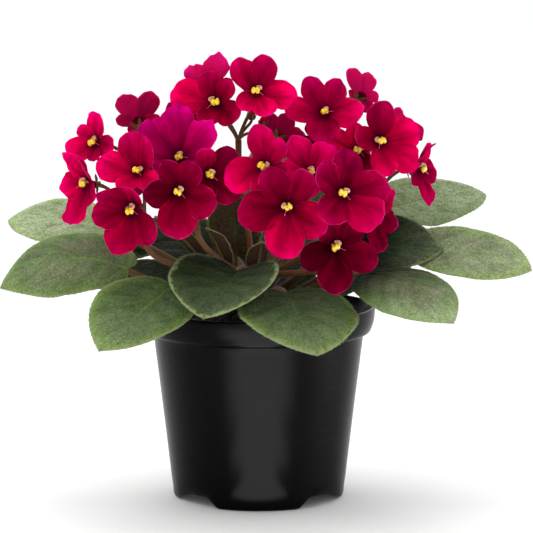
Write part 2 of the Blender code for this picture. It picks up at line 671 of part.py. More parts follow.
def pedicel(name, path, radii, seat, frame):
    """A pedicel that ends in a calyx: five pointed sepals, as one star under the bloom's tube."""
    points = []
    facing = frame.col[2]
    for i, centre in enumerate(path):
        ahead = facing if i == len(path) - 1 else (path[i + 1] - path[max(i - 1, 0)]).normalized()
        side = (frame.col[0] - ahead * frame.col[0].dot(ahead)).normalized()
        other = ahead.cross(side)
        for k in range(SEPALS):
            turn = 2 * math.pi * k / SEPALS
            points.append(centre + (side * math.cos(turn) + other * math.sin(turn)) * radii[i])
    faces = [(0, 2, 1), (0, 3, 2), (0, 4, 3)]
    for i in range(len(path) - 1):
        faces += ring_faces(SEPALS * i, SEPALS * (i + 1), SEPALS)
    stem, star = len(points) - SEPALS, len(points)
    for k in range(2 * SEPALS):
        turn = math.pi * k / SEPALS
        out, height = (SEPAL_LENGTH, 1.2) if k % 2 == 0 else (SEPAL_VALLEY, -1.0)
        points.append(seat + frame @ Vector((math.cos(turn) * out, math.sin(turn) * out, height)))
    points.append(seat - facing * 0.4)
    middle = star + 2 * SEPALS
    for k in range(SEPALS):
        tip, valley, beyond = star + 2 * k, star + 2 * k + 1, star + (2 * k + 2) % (2 * SEPALS)
        this, following = stem + k, stem + (k + 1) % SEPALS
        faces += [(this, valley, tip), (this, following, valley), (following, beyond, valley)]
        faces += [(middle, tip, valley), (middle, valley, beyond)]
    return new_object(name, points, faces)


def make_stalk(name, angle, fork, carried, buds, finish):
    """A flower stalk: a peduncle that forks into a pedicel for each bloom and bud."""
    fork = Vector(fork)
    start, out = crown_point(angle, STALK_LEVEL)
    reach = (fork - start).length
    path = []
    for step in range(5):
        rising = start + out * reach * 0.15 + UP * reach * 0.22
        path.append(bezier(start, rising, fork - UP * reach * 0.35, fork, step / 4))
    radii = [STALK_RADII[0] + (STALK_RADII[1] - STALK_RADII[0]) * k / 4 for k in range(5)]
    stalk = tube(name, path, radii, STALK_SIDES, finish, heading=out)
    parts = []
    root = path[-1] - (path[-1] - path[-2]).normalized() * 1.0
    for number in carried:
        _, throat, azimuth, elevation, _, _ = BLOOMS[number - 1]
        frame = bloom_frame(azimuth, elevation)
        facing = frame.col[2]
        seat = Vector(throat) - facing * (TUBE_LENGTH + CLEARANCE)
        end = seat - facing * 2.4
        far = (end - root).length
        rising = root + (UP + (end - root).normalized()).normalized() * far * 0.3
        stem = [bezier(root, rising, end - facing * far * 0.3, end, k / 3) for k in range(4)]
        radii = [PEDICEL_RADII[0] + (PEDICEL_RADII[1] - PEDICEL_RADII[0]) * k / 3 for k in range(4)]
        parts.append(pedicel(f"{name}_pedicel_{number}", stem, radii, seat, frame))
    for number, bud in enumerate(buds):
        end = Vector(bud)
        far = (end - root).length
        stem = [bezier(root, root + UP * far * 0.4, end - UP * far * 0.2, end, k / 3) for k in range(4)]
        parts.append(tube(f"{name}_bud_stem_{number}", stem, BUD_STEM_RADII, SEPALS))
        parts.append(seed(f"{name}_bud_{number}", end + UP * 2, BUD_SIZE, Matrix.Identity(3), 6))
    return join(stalk, parts)


def spread_angles():
    """Where each leaf starts on the crown: its own direction."""
    angles = {}
    for leaf in LEAVES:
        name, base = leaf[0], leaf[1]
        angles[name] = math.degrees(math.atan2(base[1] - CROWN_CENTRE[1], base[0] - CROWN_CENTRE[0]))
    return angles


def main():
    clear_scene()
    plastic = material("pot_plastic", (0.012, 0.012, 0.013), 0.35)
    earth = material("soil", (0.02, 0.014, 0.01), 0.95)
    stem = material("stem", (0.16, 0.07, 0.04), 0.6)
    green = material("leaf", (0.07, 0.13, 0.05), 0.7)
    crimson = material("petal", (0.45, 0.0, 0.05), 0.6)
    make_pot(plastic)
    make_soil(earth)
    make_crown(stem)
    draw = random.Random(SEED)
    angles = spread_angles()
    for leaf in LEAVES:
        make_leaf(*leaf, angles[leaf[0]], green, draw)
    for bloom in BLOOMS:
        make_bloom(*bloom, draw, crimson)
    for stalk in STALKS:
        make_stalk(*stalk, stem)


main()
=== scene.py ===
"""Looks of the potted African violet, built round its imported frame.

+Z up, with the origin on the pot's axis, on the surface that the pot stands on. Shapes are worked
out in millimetres, and MM turns them into metres. The tables of leaves, blooms and stalks hold the
same places as the solids that these pieces stand for.
"""

import math
import random

import bmesh
import bpy
import numpy as np
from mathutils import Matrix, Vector


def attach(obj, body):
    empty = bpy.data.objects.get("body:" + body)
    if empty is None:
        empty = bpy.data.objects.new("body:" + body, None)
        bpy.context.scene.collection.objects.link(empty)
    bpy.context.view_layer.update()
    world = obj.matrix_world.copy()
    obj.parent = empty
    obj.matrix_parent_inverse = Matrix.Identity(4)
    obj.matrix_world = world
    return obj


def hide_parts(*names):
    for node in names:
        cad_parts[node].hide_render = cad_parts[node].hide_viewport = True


MM = 0.001
SEED = 7
UP = np.array((0.0, 0.0, 1.0))

# Photograph's camera: a square picture, looking down a little at the pot's axis.
CAMERA_PITCH = 7.5
CAMERA_DISTANCE = 1.279
CAMERA_TARGET = (0.0036, 0.0, 0.1039)
PICTURE_WIDTH = 533 * 0.4495e-3  # metres across the picture, at the pot's axis
SENSOR = 36.0
CLIP = (0.05, 50)

# Studio, in metres.
FLOOR_HALF_WIDTH = 12.0
FLOOR_GAP = 0.0002  # between the floor and the pot's feet
SKY = {"From Min": -0.35, "From Max": 0.45, "To Min": 0.3, "To Max": 1.95}  # brighter towards the back
PLANT_MIDDLE = (0, 0, 0.12)
# Lamps: (name, place, what it faces, size, power).
LAMPS = (
    ("key", (-0.55, -0.75, 1.25), PLANT_MIDDLE, (0.7, 0.7), 5),
    ("top", (0.0, 0.25, 1.5), PLANT_MIDDLE, (1.2, 1.2), 5),
    ("strip", (0.0, -0.95, 0.16), (0, 0, 0.1), (0.5, 0.3), 3.2),
)
# Lamps that only glossy surfaces show: one for the pot's right side, in the same order, and strips
# that lie on the floor before the pot, for the soft light band down its front. A strip's row is its
# middle's x and y, its half width and its depth.
GLOSS_SIDE = ("gloss_right", (0.7, -0.12, 0.06), (0, 0, 0.045), (0.3, 0.08), 20.0)
GLOSS_STRIPS = (
    (0.001, -0.060, 0.019, 0.03),
    (0.003, -0.100, 0.045, 0.05),
    (0.007, -0.160, 0.095, 0.07),
    (0.012, -0.245, 0.162, 0.10),
)
GLOSS_RADIANCE = 7.5
GLOSS_HEIGHT = 0.002

# Pot.
POT_RIM_RADIUS = 52.5
POT_HEIGHT = 86.4
POT_BODY_TOP_RADIUS = 47.4
POT_BODY_MIDDLE = (43.6, 44.0)
POT_BODY_BOTTOM_RADIUS = 38.4
POT_RIM_BAND = 12.4
POT_WALL = 1.4
# Feet: (angle round the pot, degrees from its middle to its end, degrees that its slope takes).
POT_FEET = ((-90.0, 27.0, 12.0), (0.0, 8.0, 33.0), (90.0, 27.0, 12.0), (180.0, 8.0, 33.0))
FOOT_ARCH_HEIGHT = 4.6
FOOT_DEPTH = 2.6
BASE_PLATE_UNDERSIDE = 5.2
DRAIN_HOLES = 4
DRAIN_HOLE_RADIUS = 3.0
DRAIN_HOLE_CIRCLE = 24.0
POT_SIDES = 240

# Soil and crown.
SOIL_TOP = 80.0
SOIL_RADIUS = 45.6
SOIL_RINGS = 90
SOIL_SIDES = 220
SOIL_ROUGHNESS = 0.28
CROWN_CENTRE = (-3.0, 2.0)
CROWN_RADIUS = 7.0
CROWN_SHOULDER = 94.0
CROWN_TOP = 98.5
CRUMBS = 1500
PALE_CRUMBS = 0.035  # share of the crumbs

# Leaves by number: (base of the blade, tip, width, roll, arch, cup, lobe lift, level on the crown).
LEAVES = {
    1: ((-60.5, 36, 113), (-116.2, 46, 119.2), 42, -22, 4, 0, 0, 1),
    2: ((-57.5, -14, 104), (-115, -10, 95.5), 42, -35, 9, -2.5, 2.5, 0),
    3: ((-37, -45.5, 102), (-67.5, -74.5, 77.5), 50, -12, 0.5, 2.5, 0, 0),
    4: ((-9, -45.5, 108), (-23, -81.5, 92.5), 48, -3, 0.5, 7.5, 4, 1),
    5: ((11.5, -49.5, 99), (24.5, -98.5, 79.5), 52, -1, 2, 1, 2, 0),
    6: ((44.7, -44, 106.3), (82.5, -77, 89.8), 41, 14, 5.5, -2.5, 0, 0),
    7: ((43, -17, 116.3), (81, -25, 114.3), 38, 32, 0.5, 2, 0, 1),
    8: ((67, -12.5, 117), (118.5, -41.5, 107.5), 35, 28, 0.5, 1, 0, 0),
    9: ((58, 32, 126), (105, 42.5, 131.5), 38, 29, 1.5, 0, 3.5, 1),
    10: ((14, 27, 115), (8, 57, 158), 40, 0, 3, 2.0, 2, 1),
    11: ((34.5, 30, 88.3), (71, 53, 104.5), 49, -3, 4, 1.0, 1, 0),
    12: ((-28, 46, 99), (-55, 74.0, 117), 45, 0, 4, 1.0, 2, 0),
    13: ((5.5, 42, 88.5), (13, 98.7, 110), 47, 4, 3, 1.0, 1, 0),
    14: ((-10, 11, 107), (-12, 19, 138), 26, 0, 2, 2.0, 0, 2),
    15: ((-14, -9.5, 107), (-23, -14, 123), 16, 0, 2, 2.0, 0, 2),
    16: ((-24, -2, 108), (-46, -13, 128), 15, 0, 2, 2.0, 0, 2),
    17: ((-1, -9, 103), (1.5, -15, 117), 11, 0, 1, 1.5, 0, 2),
    18: ((-38, 12.5, 91), (-76, 26, 95.5), 43, -16, 3, 1.0, 1, 0),
}
LEAF_LARGE = 30.0
LEAF_USUAL_WIDTH = 44
LEAF_GRID = {True: (84, 20), False: (40, 9)}  # rows along the blade, columns on each side
LEAF_THICKNESS = 1.1
LEAF_NOTCH_WIDTH = 0.30
# A blade's outline: where along it the blade is widest, how full its sides are towards the tip, how
# round the tip is, and how far its lobes reach back beside the petiole.
LEAF_OUTLINE = (0.42, 2.0, 1.1, 0.10)
LEAF_OUTLINES = {
    1: (0.48, 2.5, 1.4, 0.12),
    2: (0.53, 2.1, 1.15, 0.07),
    3: (0.37, 2.2, 1.05, 0.05),
    4: (0.38, 2.2, 1.05, 0.16),
    5: (0.48, 1.55, 1.25, 0.16),
    6: (0.56, 2.0, 1.15, 0.05),
    7: (0.39, 1.85, 1.3, 0.10),
    8: (0.47, 2.1, 1.3, 0.06),
    9: (0.33, 1.75, 1.6, 0.09),
}
LEAF_WAVE = 0.35
LEAF_WAVES = {True: 19.0, False: 13.3}  # turns of the wave along each side, in radians
LEAF_RUFFLE = (0.12, 47)  # the same of a finer one: its height and turns
LEAF_EDGE_DROP = 0.5
LEAF_TEETH = 30  # scallops down each side
LEAF_TOOTH_DEPTH = 0.006
LEAF_VEINS = 7.0  # pairs of side veins, if they ran the whole length
VEIN_SLANT = 0.26
VEIN_WIDTH = 0.14  # as a share of the way from one vein to the next
QUILT_HEIGHT = 0.6  # puffs between the veins
MIDRIB_DEPTH = 0.75
PETIOLE_RADIUS = {True: (2.0, 1.5), False: (1.3, 1.0)}
PETIOLE_STEPS = 26
PETIOLE_SIDES = 12
RIB_STEPS = 16  # the petiole goes on as a rib under the blade
LEAF_HAIRS = {True: (1000, 2600, 420), False: (300, 350, 120)}  # on the edge, the top, the petiole
HAIRS_END = 24  # step of the petiole where its hairs end
# Hairs: (shortest and longest, radius).
EDGE_HAIR = ((0.45, 1.05), 0.035)
TOP_HAIR = ((0.35, 0.8), 0.022)
PETIOLE_HAIR = ((0.5, 1.2), 0.026)
STALK_HAIR = ((0.35, 0.9), 0.024)
CROWN_LEVELS = (85.0, 89.4, 92.9)
# Looks of a leaf: (lightness, which is painted light and shade, brown grey in its middle, yellow
# green at its edge, frost with some painted sheen, pale fuzz along its edge, red).
LEAF_LOOKS = {
    1: (1.5, 0.5, 0.8, 0.45, 0.4, 0.0),
    2: (0.95, 0.8, 0.6, 0.1, 0.5, 0.0),
    3: (0.72, 0.3, 0.8, 0.0, 0.5, 0.0),
    4: (0.22, 0.0, 0.5, 0.0, 0.85, 0.0),
    5: (0.62, 0.35, 0.8, 0.05, 0.7, 0.0),
    6: (0.80, 0.9, 0.4, 0.1, 0.2, 0.0),
    7: (0.13, 0.0, 0.2, 0.1, 0.4, 0.0),
    8: (1.25, 0.9, 0.8, 0.3, 0.3, 0.0),
    9: (1.15, 0.2, 0.3, 0.4, 0.4, 0.0),
    10: (0.55, 0.1, 0.3, 0.3, 0.5, 0.0),
}
# The other large leaves, at the back, are painted nearly black green as painted shade; the small ones in the
# middle are painted dark as well.
LEAF_LOOK = (0.11, 0.3, 0.3, 0.0, 0.3, 0.1)
SMALL_LEAF_LOOK = (0.30, 0.2, 0.8, 0.0, 0.5, 0.7)
# Edges that curl up or down, in millimetres: the blade's left side, then its right side.
LEAF_CURLS = {11: (0.0, -5.0), 12: (-10.0, 5.0), 13: (0.0, 4.0)}
# Painted light and shade: how light a leaf is at its base and at its tip, and how much lighter its
# right side is than its middle, which fades towards the tip. Its left side is darker by as much.
LEAF_SHADES = {
    3: (0.45, 1.75, 0.1),
    4: (0.22, 2.3, -0.5),
    5: (0.25, 1.5, 0.0),
    6: (-0.3, 2.0, 0.7),
    7: (-1.4, 3.6, 0.5),
}
LEAF_SHADE = (0.75, 1.15, 0.0)

# Blooms by number: (throat, azimuth and elevation it faces, cup, petals). A petal is its direction,
# its length and, where it folds forward, by how many degrees. A plain number gives a regular bloom
# with petals of about that length.
BLOOMS = {
    1: ((-19, -16, 179), 262, 20, 0.10, ((52, 12), (108, 14), (168, 21), (250, 12), (320, 14))),
    2: ((-1, -20, 184), 272, 30, 0.12, ((72, 16.5), (120, 16.5), (235, 12), (295, 14), (348, 18.5))),
    3: ((29.3, -14, 174), 270, 42, 0.25, ((63, 15.5), (117, 16), (177, 18), (264, 17.5), (357, 17.5))),
    4: ((53, -32, 163), 288, 18, 0.10, ((13, 19), (85, 17), (165, 12), (277, 16), (326, 20))),
    5: ((71.8, -8, 149), 335, 4, 0.16, ((60, 12.5), (115, 13, 35), (190, 14), (285, 17), (345, 14))),
    6: ((2.5, -46, 153.5), 253, 18, 0.14, ((52, 14), (98, 17), (205, 18.5), (275, 14), (340, 12))),
    7: ((22.5, -36, 149.5), 285, 28, 0.10, ((50, 16.5), (112, 18), (162, 13), (255, 12), (325, 12))),
    8: ((12.7, -60, 137.5), 266, 8, 0.06, ((61, 17.5), (120, 18.5), (188, 22), (265, 22), (330, 19.5))),
    9: ((36, -67, 144), 281, 22, 0.10, ((10, 20), (79, 18.5), (130, 16), (240, 15.5), (318, 21))),
    10: ((33.3, -57.5, 120.3), 275, 0, 0.08,
     ((45, 14.5), (105, 12), (205, 17.5), (268, 21), (335, 19))),
    11: ((43.8, -9, 157), 282, 24, 0.12, ((30, 10), (95, 12), (153, 16), (215, 12), (290, 10))),
    12: ((-52, -44, 151), 256, 34, 0.16,
     ((58, 15, 50), (106, 18), (172, 18.5), (240, 13), (320, 12.5))),
    13: ((-35, -22, 155), 272, 30, 0.30, ((40, 20), (92, 21), (142, 20), (225, 14), (310, 14))),
    14: ((-34, -58, 144), 266, 4, 0.06, ((59, 14.5), (112, 14), (188, 15), (270, 20), (334, 18))),
    15: ((-53.7, -68, 137.5), 250, -2, 0.10,
     ((70, 15, 50), (143, 17, 50), (193, 18), (249, 21), (305, 17))),
    16: ((-75, -36, 145), 220, 8, 0.14, ((60, 13, 40), (117, 15, 25), (190, 16), (251, 20), (320, 12))),
    17: ((-21.5, -42, 149.5), 296, 10, 0.10, ((38, 16), (100, 12), (185, 11), (255, 13), (315, 17))),
    18: ((-54, 4, 170), 100, 35, 0.10, ((55, 14), (120, 14.5), (190, 10), (270, 10), (350, 10))),
    19: ((-73, -5, 160.5), 238, 8, 0.16, ((80, 13), (140, 9.5), (207, 16), (275, 9), (345, 12))),
    20: ((-22, 8, 184.5), 92, 38, 0.10, ((45, 14), (107, 16.5), (180, 11), (250, 10), (330, 11))),
    21: ((47, 14, 180), 60, 25, 0.12, ((68, 13.5), (115, 11), (190, 8), (270, 10), (350, 8))),
    22: ((62, 2, 166), 40, 30, 0.10, ((60, 10), (120, 11), (180, 16), (260, 10), (330, 10))),
    23: ((49.5, -41, 131), 318, 0, 0.12, ((42, 15), (125, 10), (205, 8), (285, 17), (340, 15))),
    24: ((9, 15, 162), 80, 16, 0.12, 12.5),
    25: ((29, 29, 157), 75, 20, 0.12, 13),
    26: ((-34, 0, 168), 268, 55, 0.20, 13.5),
    27: ((-52, 41, 143), 140, 26, 0.12, 15.5),
    28: ((-17, 60, 135), 102, 14, 0.10, 15.5),
    29: ((17, 67, 141), 80, 24, 0.12, 16),
    30: ((46, 46, 143), 46, 20, 0.10, 15.5),
}
REGULAR_PETALS = ((58, 0.86), (122, 0.86), (193, 0.98), (270, 1.0), (347, 0.98))
PETAL_BREADTH = 0.47
UPPER_PETAL_BREADTH = 0.42
PETAL_GRID = (22, 25)  # rows from the throat out, columns across
PETAL_OVERLAP = 8.0  # degrees that a petal reaches under or over the next one
PETAL_LAYERS = {"upper": 0.75, "side": 0.0, "lower": 0.28}
PETAL_THICKNESS = 0.4
THROAT_RADIUS = 1.6
THROAT_DEPTH = 1.6
THROAT_SPREAD = 2.6
FOLD_RADIUS = 4.5
CREASE = (0.6, 0.17)  # depth, and width as a share of the petal's half width
RIPPLES = 9
PETAL_USUAL_LENGTH = 18
TUBE_LENGTH = 4.6
TUBE_RINGS = ((1.2, 2.6), (2.2, 1.9), (3.4, 1.7), (TUBE_LENGTH, 1.6))  # depth below the throat, radius
UPPER_PURPLE = 0.12  # more purple on the upper petals
# Looks of a bloom: (share of purple, then how light each of its petals is, as painted light and shade).
BLOOM_LOOKS = {
    1: (0.0, 0.95, 0.8, 1.9, 0.85, 0.7),
    2: (0.05, 1.0, 1.1, 1.7, 2.2, 1.75),
    3: (0.15, 1.05, 0.95, 1.5, 0.85, 1.7),
    4: (0.0, 1.7, 0.72, 0.85, 1.75, 1.6),
    5: (0.15, 2.0, 1.0, 0.72, 1.2, 0.75),
    6: (0.05, 1.25, 1.3, 1.6, 1.5, 0.9),
    7: (0.15, 2.1, 1.4, 2.2, 1.2, 1.2),
    8: (0.0, 0.68, 0.6, 0.54, 1.25, 0.92),
    9: (0.1, 0.78, 0.6, 0.72, 0.78, 1.2),
    10: (0.0, 0.36, 0.48, 0.16, 0.32, 0.42),
    11: (0.0, 1.5, 2.0, 2.1, 0.4, 0.35),
    12: (0.1, 1.15, 1.15, 1.95, 2.1, 2.1),
    13: (0.7, 2.0, 1.35, 1.5, 1.6, 1.5),
    14: (0.0, 0.53, 0.42, 0.33, 0.75, 0.67),
    15: (0.0, 0.9, 0.72, 0.62, 0.87, 0.67),
    16: (0.1, 1.3, 1.9, 1.45, 1.4, 0.95),
    17: (0.1, 0.52, 1.2, 0.4, 0.6, 0.57),
    18: (0.0, 1.0, 0.75, 1.8, 1.2, 0.8),
    19: (0.15, 2.0, 1.9, 2.1, 1.05, 1.5),
    20: (0.45, 2.4, 2.3, 1.6, 1.6, 1.6),
    21: (0.2, 1.45, 1.5, 2.1, 1.4, 1.3),
    22: (0.3, 1.4, 1.9, 1.5, 1.2, 1.2),
    23: (0.0, 1.3, 0.9, 0.55, 0.55, 0.42),
    24: (0.0, 0.55, 0.7, 0.9, 0.4, 0.4),
    25: (0.0, 0.4, 0.4, 0.4, 0.4, 0.4),
}
# The usual look paints the two upper petals darker: painted shade.
BLOOM_LOOK = (0.05, 0.8, 0.8, 1.0, 1.0, 1.0)
# Half breadths of a bloom's petals, as shares of their lengths, where they aren't the usual ones.
PETAL_FORMS = {
    8: (0.42, 0.42, 0.43, 0.41, 0.43),
    9: (0.47, 0.44, 0.47, 0.50, 0.47),
    10: (0.42, 0.58, 0.39, 0.385, 0.40),
    14: (0.42, 0.42, 0.47, 0.47, 0.46),
    15: (0.42, 0.42, 0.46, 0.44, 0.42),
    17: (0.40, 0.42, 0.40, 0.42, 0.41),
}
# How much more than usual a bloom's petals are frilled.
FRILLS = {9: 1.8, 13: 2.6, 16: 1.7, 19: 1.8, 20: 2.2}

# Flower stalks: (name, angle on the crown, fork, blooms it carries, unopened buds).
STALKS = (
    ("stalk_1", None, (-9, 4, 160.5), (1, 2, 20), ((-3, 1, 170), (2, 8, 166))),
    ("stalk_2", 30, (24, 8, 147), (3, 21, 24, 25, 30), ()),
    ("stalk_3", 352, (54.5, -1, 139), (4, 5, 11, 22), ()),
    ("stalk_4", 326, (34, -36, 117), (9, 10, 23), ()),
    ("stalk_5", 300, (9, -33, 127), (6, 7, 8), ()),
    ("stalk_6", 250, (-27, -29, 127), (13, 14, 17), ()),
    ("stalk_7", 211, (-50, -30, 122), (12, 15, 16), ()),
    ("stalk_8", 158, (-44, 6, 138), (18, 19, 26), ((-62, -4, 151),)),
    ("stalk_9", 108, (-17, 42, 121), (27, 28, 29), ((-4, 54, 129),)),
)
STALK_LEVEL = 95.9
STALK_RADII = (1.5, 1.2)
STALK_STEPS = 30
PEDICEL_RADII = (0.85, 0.75)
PEDICEL_STEPS = 22
BUD_STEM_RADII = (0.8, 0.6)
BUD_STEM_STEPS = 18
SWELL_START = {STALK_STEPS: 24, PEDICEL_STEPS: 17}  # step where a stem starts to swell
SEPALS = 5
SEPAL_THICKNESS = 0.3
HAIRS_PER_MM = 6
CLEARANCE = 0.3


def smoothstep(low, high, value):
    share = np.clip((np.asarray(value, float) - low) / (high - low), 0.0, 1.0)
    return share * share * (3 - 2 * share)


def unit(vectors):
    lengths = np.linalg.norm(vectors, axis=-1, keepdims=True)
    return vectors / np.maximum(lengths, 1e-9)


def bezier(p0, p1, p2, p3, steps):
    """Points on a cubic curve, from its first end to its last."""
    a, b, c, d = (np.asarray(p, float) for p in (p0, p1, p2, p3))
    t = np.linspace(0, 1, steps)[:, None]
    return a * (1 - t) ** 3 + b * 3 * t * (1 - t) ** 2 + c * 3 * t * t * (1 - t) + d * t**3


def grid_quads(rows, columns, wrap=False):
    """Faces of a grid of points stored row by row."""
    steps = columns if wrap else columns - 1
    r, c = np.meshgrid(np.arange(rows - 1), np.arange(steps), indexing="ij")
    a = r * columns + c
    b = r * columns + (c + 1) % columns
    return np.stack([a, b, b + columns, a + columns], -1).reshape(-1, 4)


def grid_normals(grid):
    """Unit normals of a grid of points, borrowed from the next row where a row is a single point."""
    along = np.gradient(grid, axis=0)
    across = np.gradient(grid, axis=1)
    normals = np.cross(across, along)
    size = np.linalg.norm(normals, axis=-1)
    flat = size.max(axis=1) < 1e-4
    normals = unit(normals)
    for row in np.nonzero(flat)[0]:
        near = row + 1 if row < len(grid) / 2 else row - 1
        normals[row] = unit(normals[near].mean(axis=0))
    return normals


class Shape:
    """Points, faces and named marks of one piece, gathered from several surfaces."""

    def __init__(self):
        self.points, self.faces, self.marks, self.count = [], [], [], 0

    def add(self, points, faces, **marks):
        """A surface whose faces, in an array or a list, have three or four corners."""
        points = np.asarray(points, float).reshape(-1, 3)
        faces = faces.tolist() if isinstance(faces, np.ndarray) else faces
        self.points.append(points)
        self.faces += [[corner + self.count for corner in face] for face in faces]
        self.marks.append((len(points), marks))
        self.count += len(points)

    def shell(self, grid, thickness, **marks):
        """A thin solid round a grid of points, with the mark under 0 on top and 1 underneath."""
        rows, columns = grid.shape[:2]
        normals = grid_normals(grid)
        half = np.broadcast_to(np.asarray(thickness, float) / 2, (rows, columns))[..., None]
        top, low = grid + normals * half, grid - normals * half
        count = rows * columns
        quads = grid_quads(rows, columns)
        index = np.arange(count).reshape(rows, columns)
        rim = np.concatenate([index[0, :-1], index[:-1, -1], index[-1, :0:-1], index[:0:-1, 0]])
        after = np.roll(rim, -1)
        side = np.stack([after, rim, rim + count, after + count], -1)
        faces = np.concatenate([quads, quads[:, ::-1] + count, side])
        doubled = {}
        for name, values in marks.items():
            flat = np.broadcast_to(np.asarray(values, float), (rows, columns)).ravel()
            doubled[name] = np.concatenate([flat, flat])
        doubled["under"] = np.repeat([0.0, 1.0], count)
        self.add(np.concatenate([top.reshape(-1, 3), low.reshape(-1, 3)]), faces, **doubled)

    def tube(self, path, radii, sides, heading=None, **marks):
        """A round tube along a path, closed at both ends."""
        path = np.asarray(path, float)
        ahead = np.gradient(path, axis=0)
        if heading is not None:
            ahead[0] = heading
        ahead = unit(ahead)
        side = np.array(Vector(ahead[0]).orthogonal())
        turns = np.arange(sides) * 2 * math.pi / sides
        radii = np.broadcast_to(np.asarray(radii, float), len(path))
        rings = []
        for centre, forward, radius in zip(path, ahead, radii):
            side = unit(side - forward * side.dot(forward))
            other = np.cross(forward, side)
            ring = np.outer(np.cos(turns), side) + np.outer(np.sin(turns), other)
            rings.append(centre + ring * radius)
        count = len(path) * sides
        last = count - sides
        faces = grid_quads(len(path), sides, wrap=True).tolist()
        faces += [[(k + 1) % sides, k, count] for k in range(sides)]
        faces += [[last + k, last + (k + 1) % sides, count + 1] for k in range(sides)]
        self.add(np.concatenate([*rings, path[:1], path[-1:]]), faces, **marks)

    def blob(self, centre, axes, rows=9, columns=12, **marks):
        """A rounded lump. axes is a 3 by 3 array whose rows are its half-axes."""
        tilt = np.linspace(0, math.pi, rows)[1:-1]
        turn = np.arange(columns) * 2 * math.pi / columns
        ring = np.stack([np.outer(np.sin(tilt), np.cos(turn)), np.outer(np.sin(tilt), np.sin(turn)),
                         np.outer(-np.cos(tilt), np.ones(columns))], -1).reshape(-1, 3)
        ends = np.array([(0, 0, -1.0), (0, 0, 1.0)])
        points = np.concatenate([ring, ends]) @ np.asarray(axes, float) + np.asarray(centre, float)
        faces = grid_quads(rows - 2, columns, wrap=True).tolist()
        low, high, last = len(ring), len(ring) + 1, (rows - 3) * columns
        for k in range(columns):
            j = (k + 1) % columns
            faces += [[low, j, k], [high, last + k, last + j]]
        self.add(points, faces, **marks)

    def hairs(self, roots, directions, lengths, radius, **marks):
        """Fine tapered hairs, three faces each."""
        roots, directions = np.asarray(roots, float), unit(np.asarray(directions, float))
        helper = np.where(np.abs(directions[:, 2:]) < 0.9, UP, np.array((1.0, 0, 0)))
        side = unit(np.cross(directions, helper))
        other = np.cross(directions, side)
        corners = []
        for k in range(3):
            turn = 2 * math.pi * k / 3
            corners.append(roots + (side * math.cos(turn) + other * math.sin(turn)) * radius)
        corners.append(roots + directions * np.asarray(lengths, float)[:, None])
        points = np.stack(corners, 1).reshape(-1, 3)
        first = np.arange(len(roots))[:, None] * 4
        faces = np.concatenate([first + np.array(f) for f in ((0, 1, 3), (1, 2, 3), (2, 0, 3))])
        self.add(points, faces, **marks)

    def build(self, name, finish, flat=False):
        """The piece as an object in metres."""
        points = np.concatenate(self.points) * MM
        mesh = bpy.data.meshes.new(name)
        mesh.from_pydata(points.tolist(), [], self.faces)
        for key in sorted({key for _, marks in self.marks for key in marks}):
            values = [np.broadcast_to(marks.get(key, 0.0), count) for count, marks in self.marks]
            layer = mesh.attributes.new(key, "FLOAT", "POINT")
            layer.data.foreach_set("value", np.concatenate(values).astype(np.float32))
        mesh.materials.append(finish)
        mesh.polygons.foreach_set("use_smooth", [not flat] * len(mesh.polygons))
        mesh.validate()
        obj = bpy.data.objects.new(name, mesh)
        bpy.context.scene.collection.objects.link(obj)
        return obj


def weld(obj, distance=1e-6):
    """Merges points that lie on each other, such as a grid's row that is one point."""
    work = bmesh.new()
    work.from_mesh(obj.data)
    bmesh.ops.remove_doubles(work, verts=work.verts, dist=distance)
    bmesh.ops.dissolve_degenerate(work, edges=work.edges, dist=distance)
    work.to_mesh(obj.data)
    work.free()
    return obj


def placed(obj, slot, *nodes):
    """Rides on the plant's one body, and stands for the solids it names. The slot is not used."""
    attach(obj, "root")
    if nodes:
        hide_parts(*nodes)
    return obj


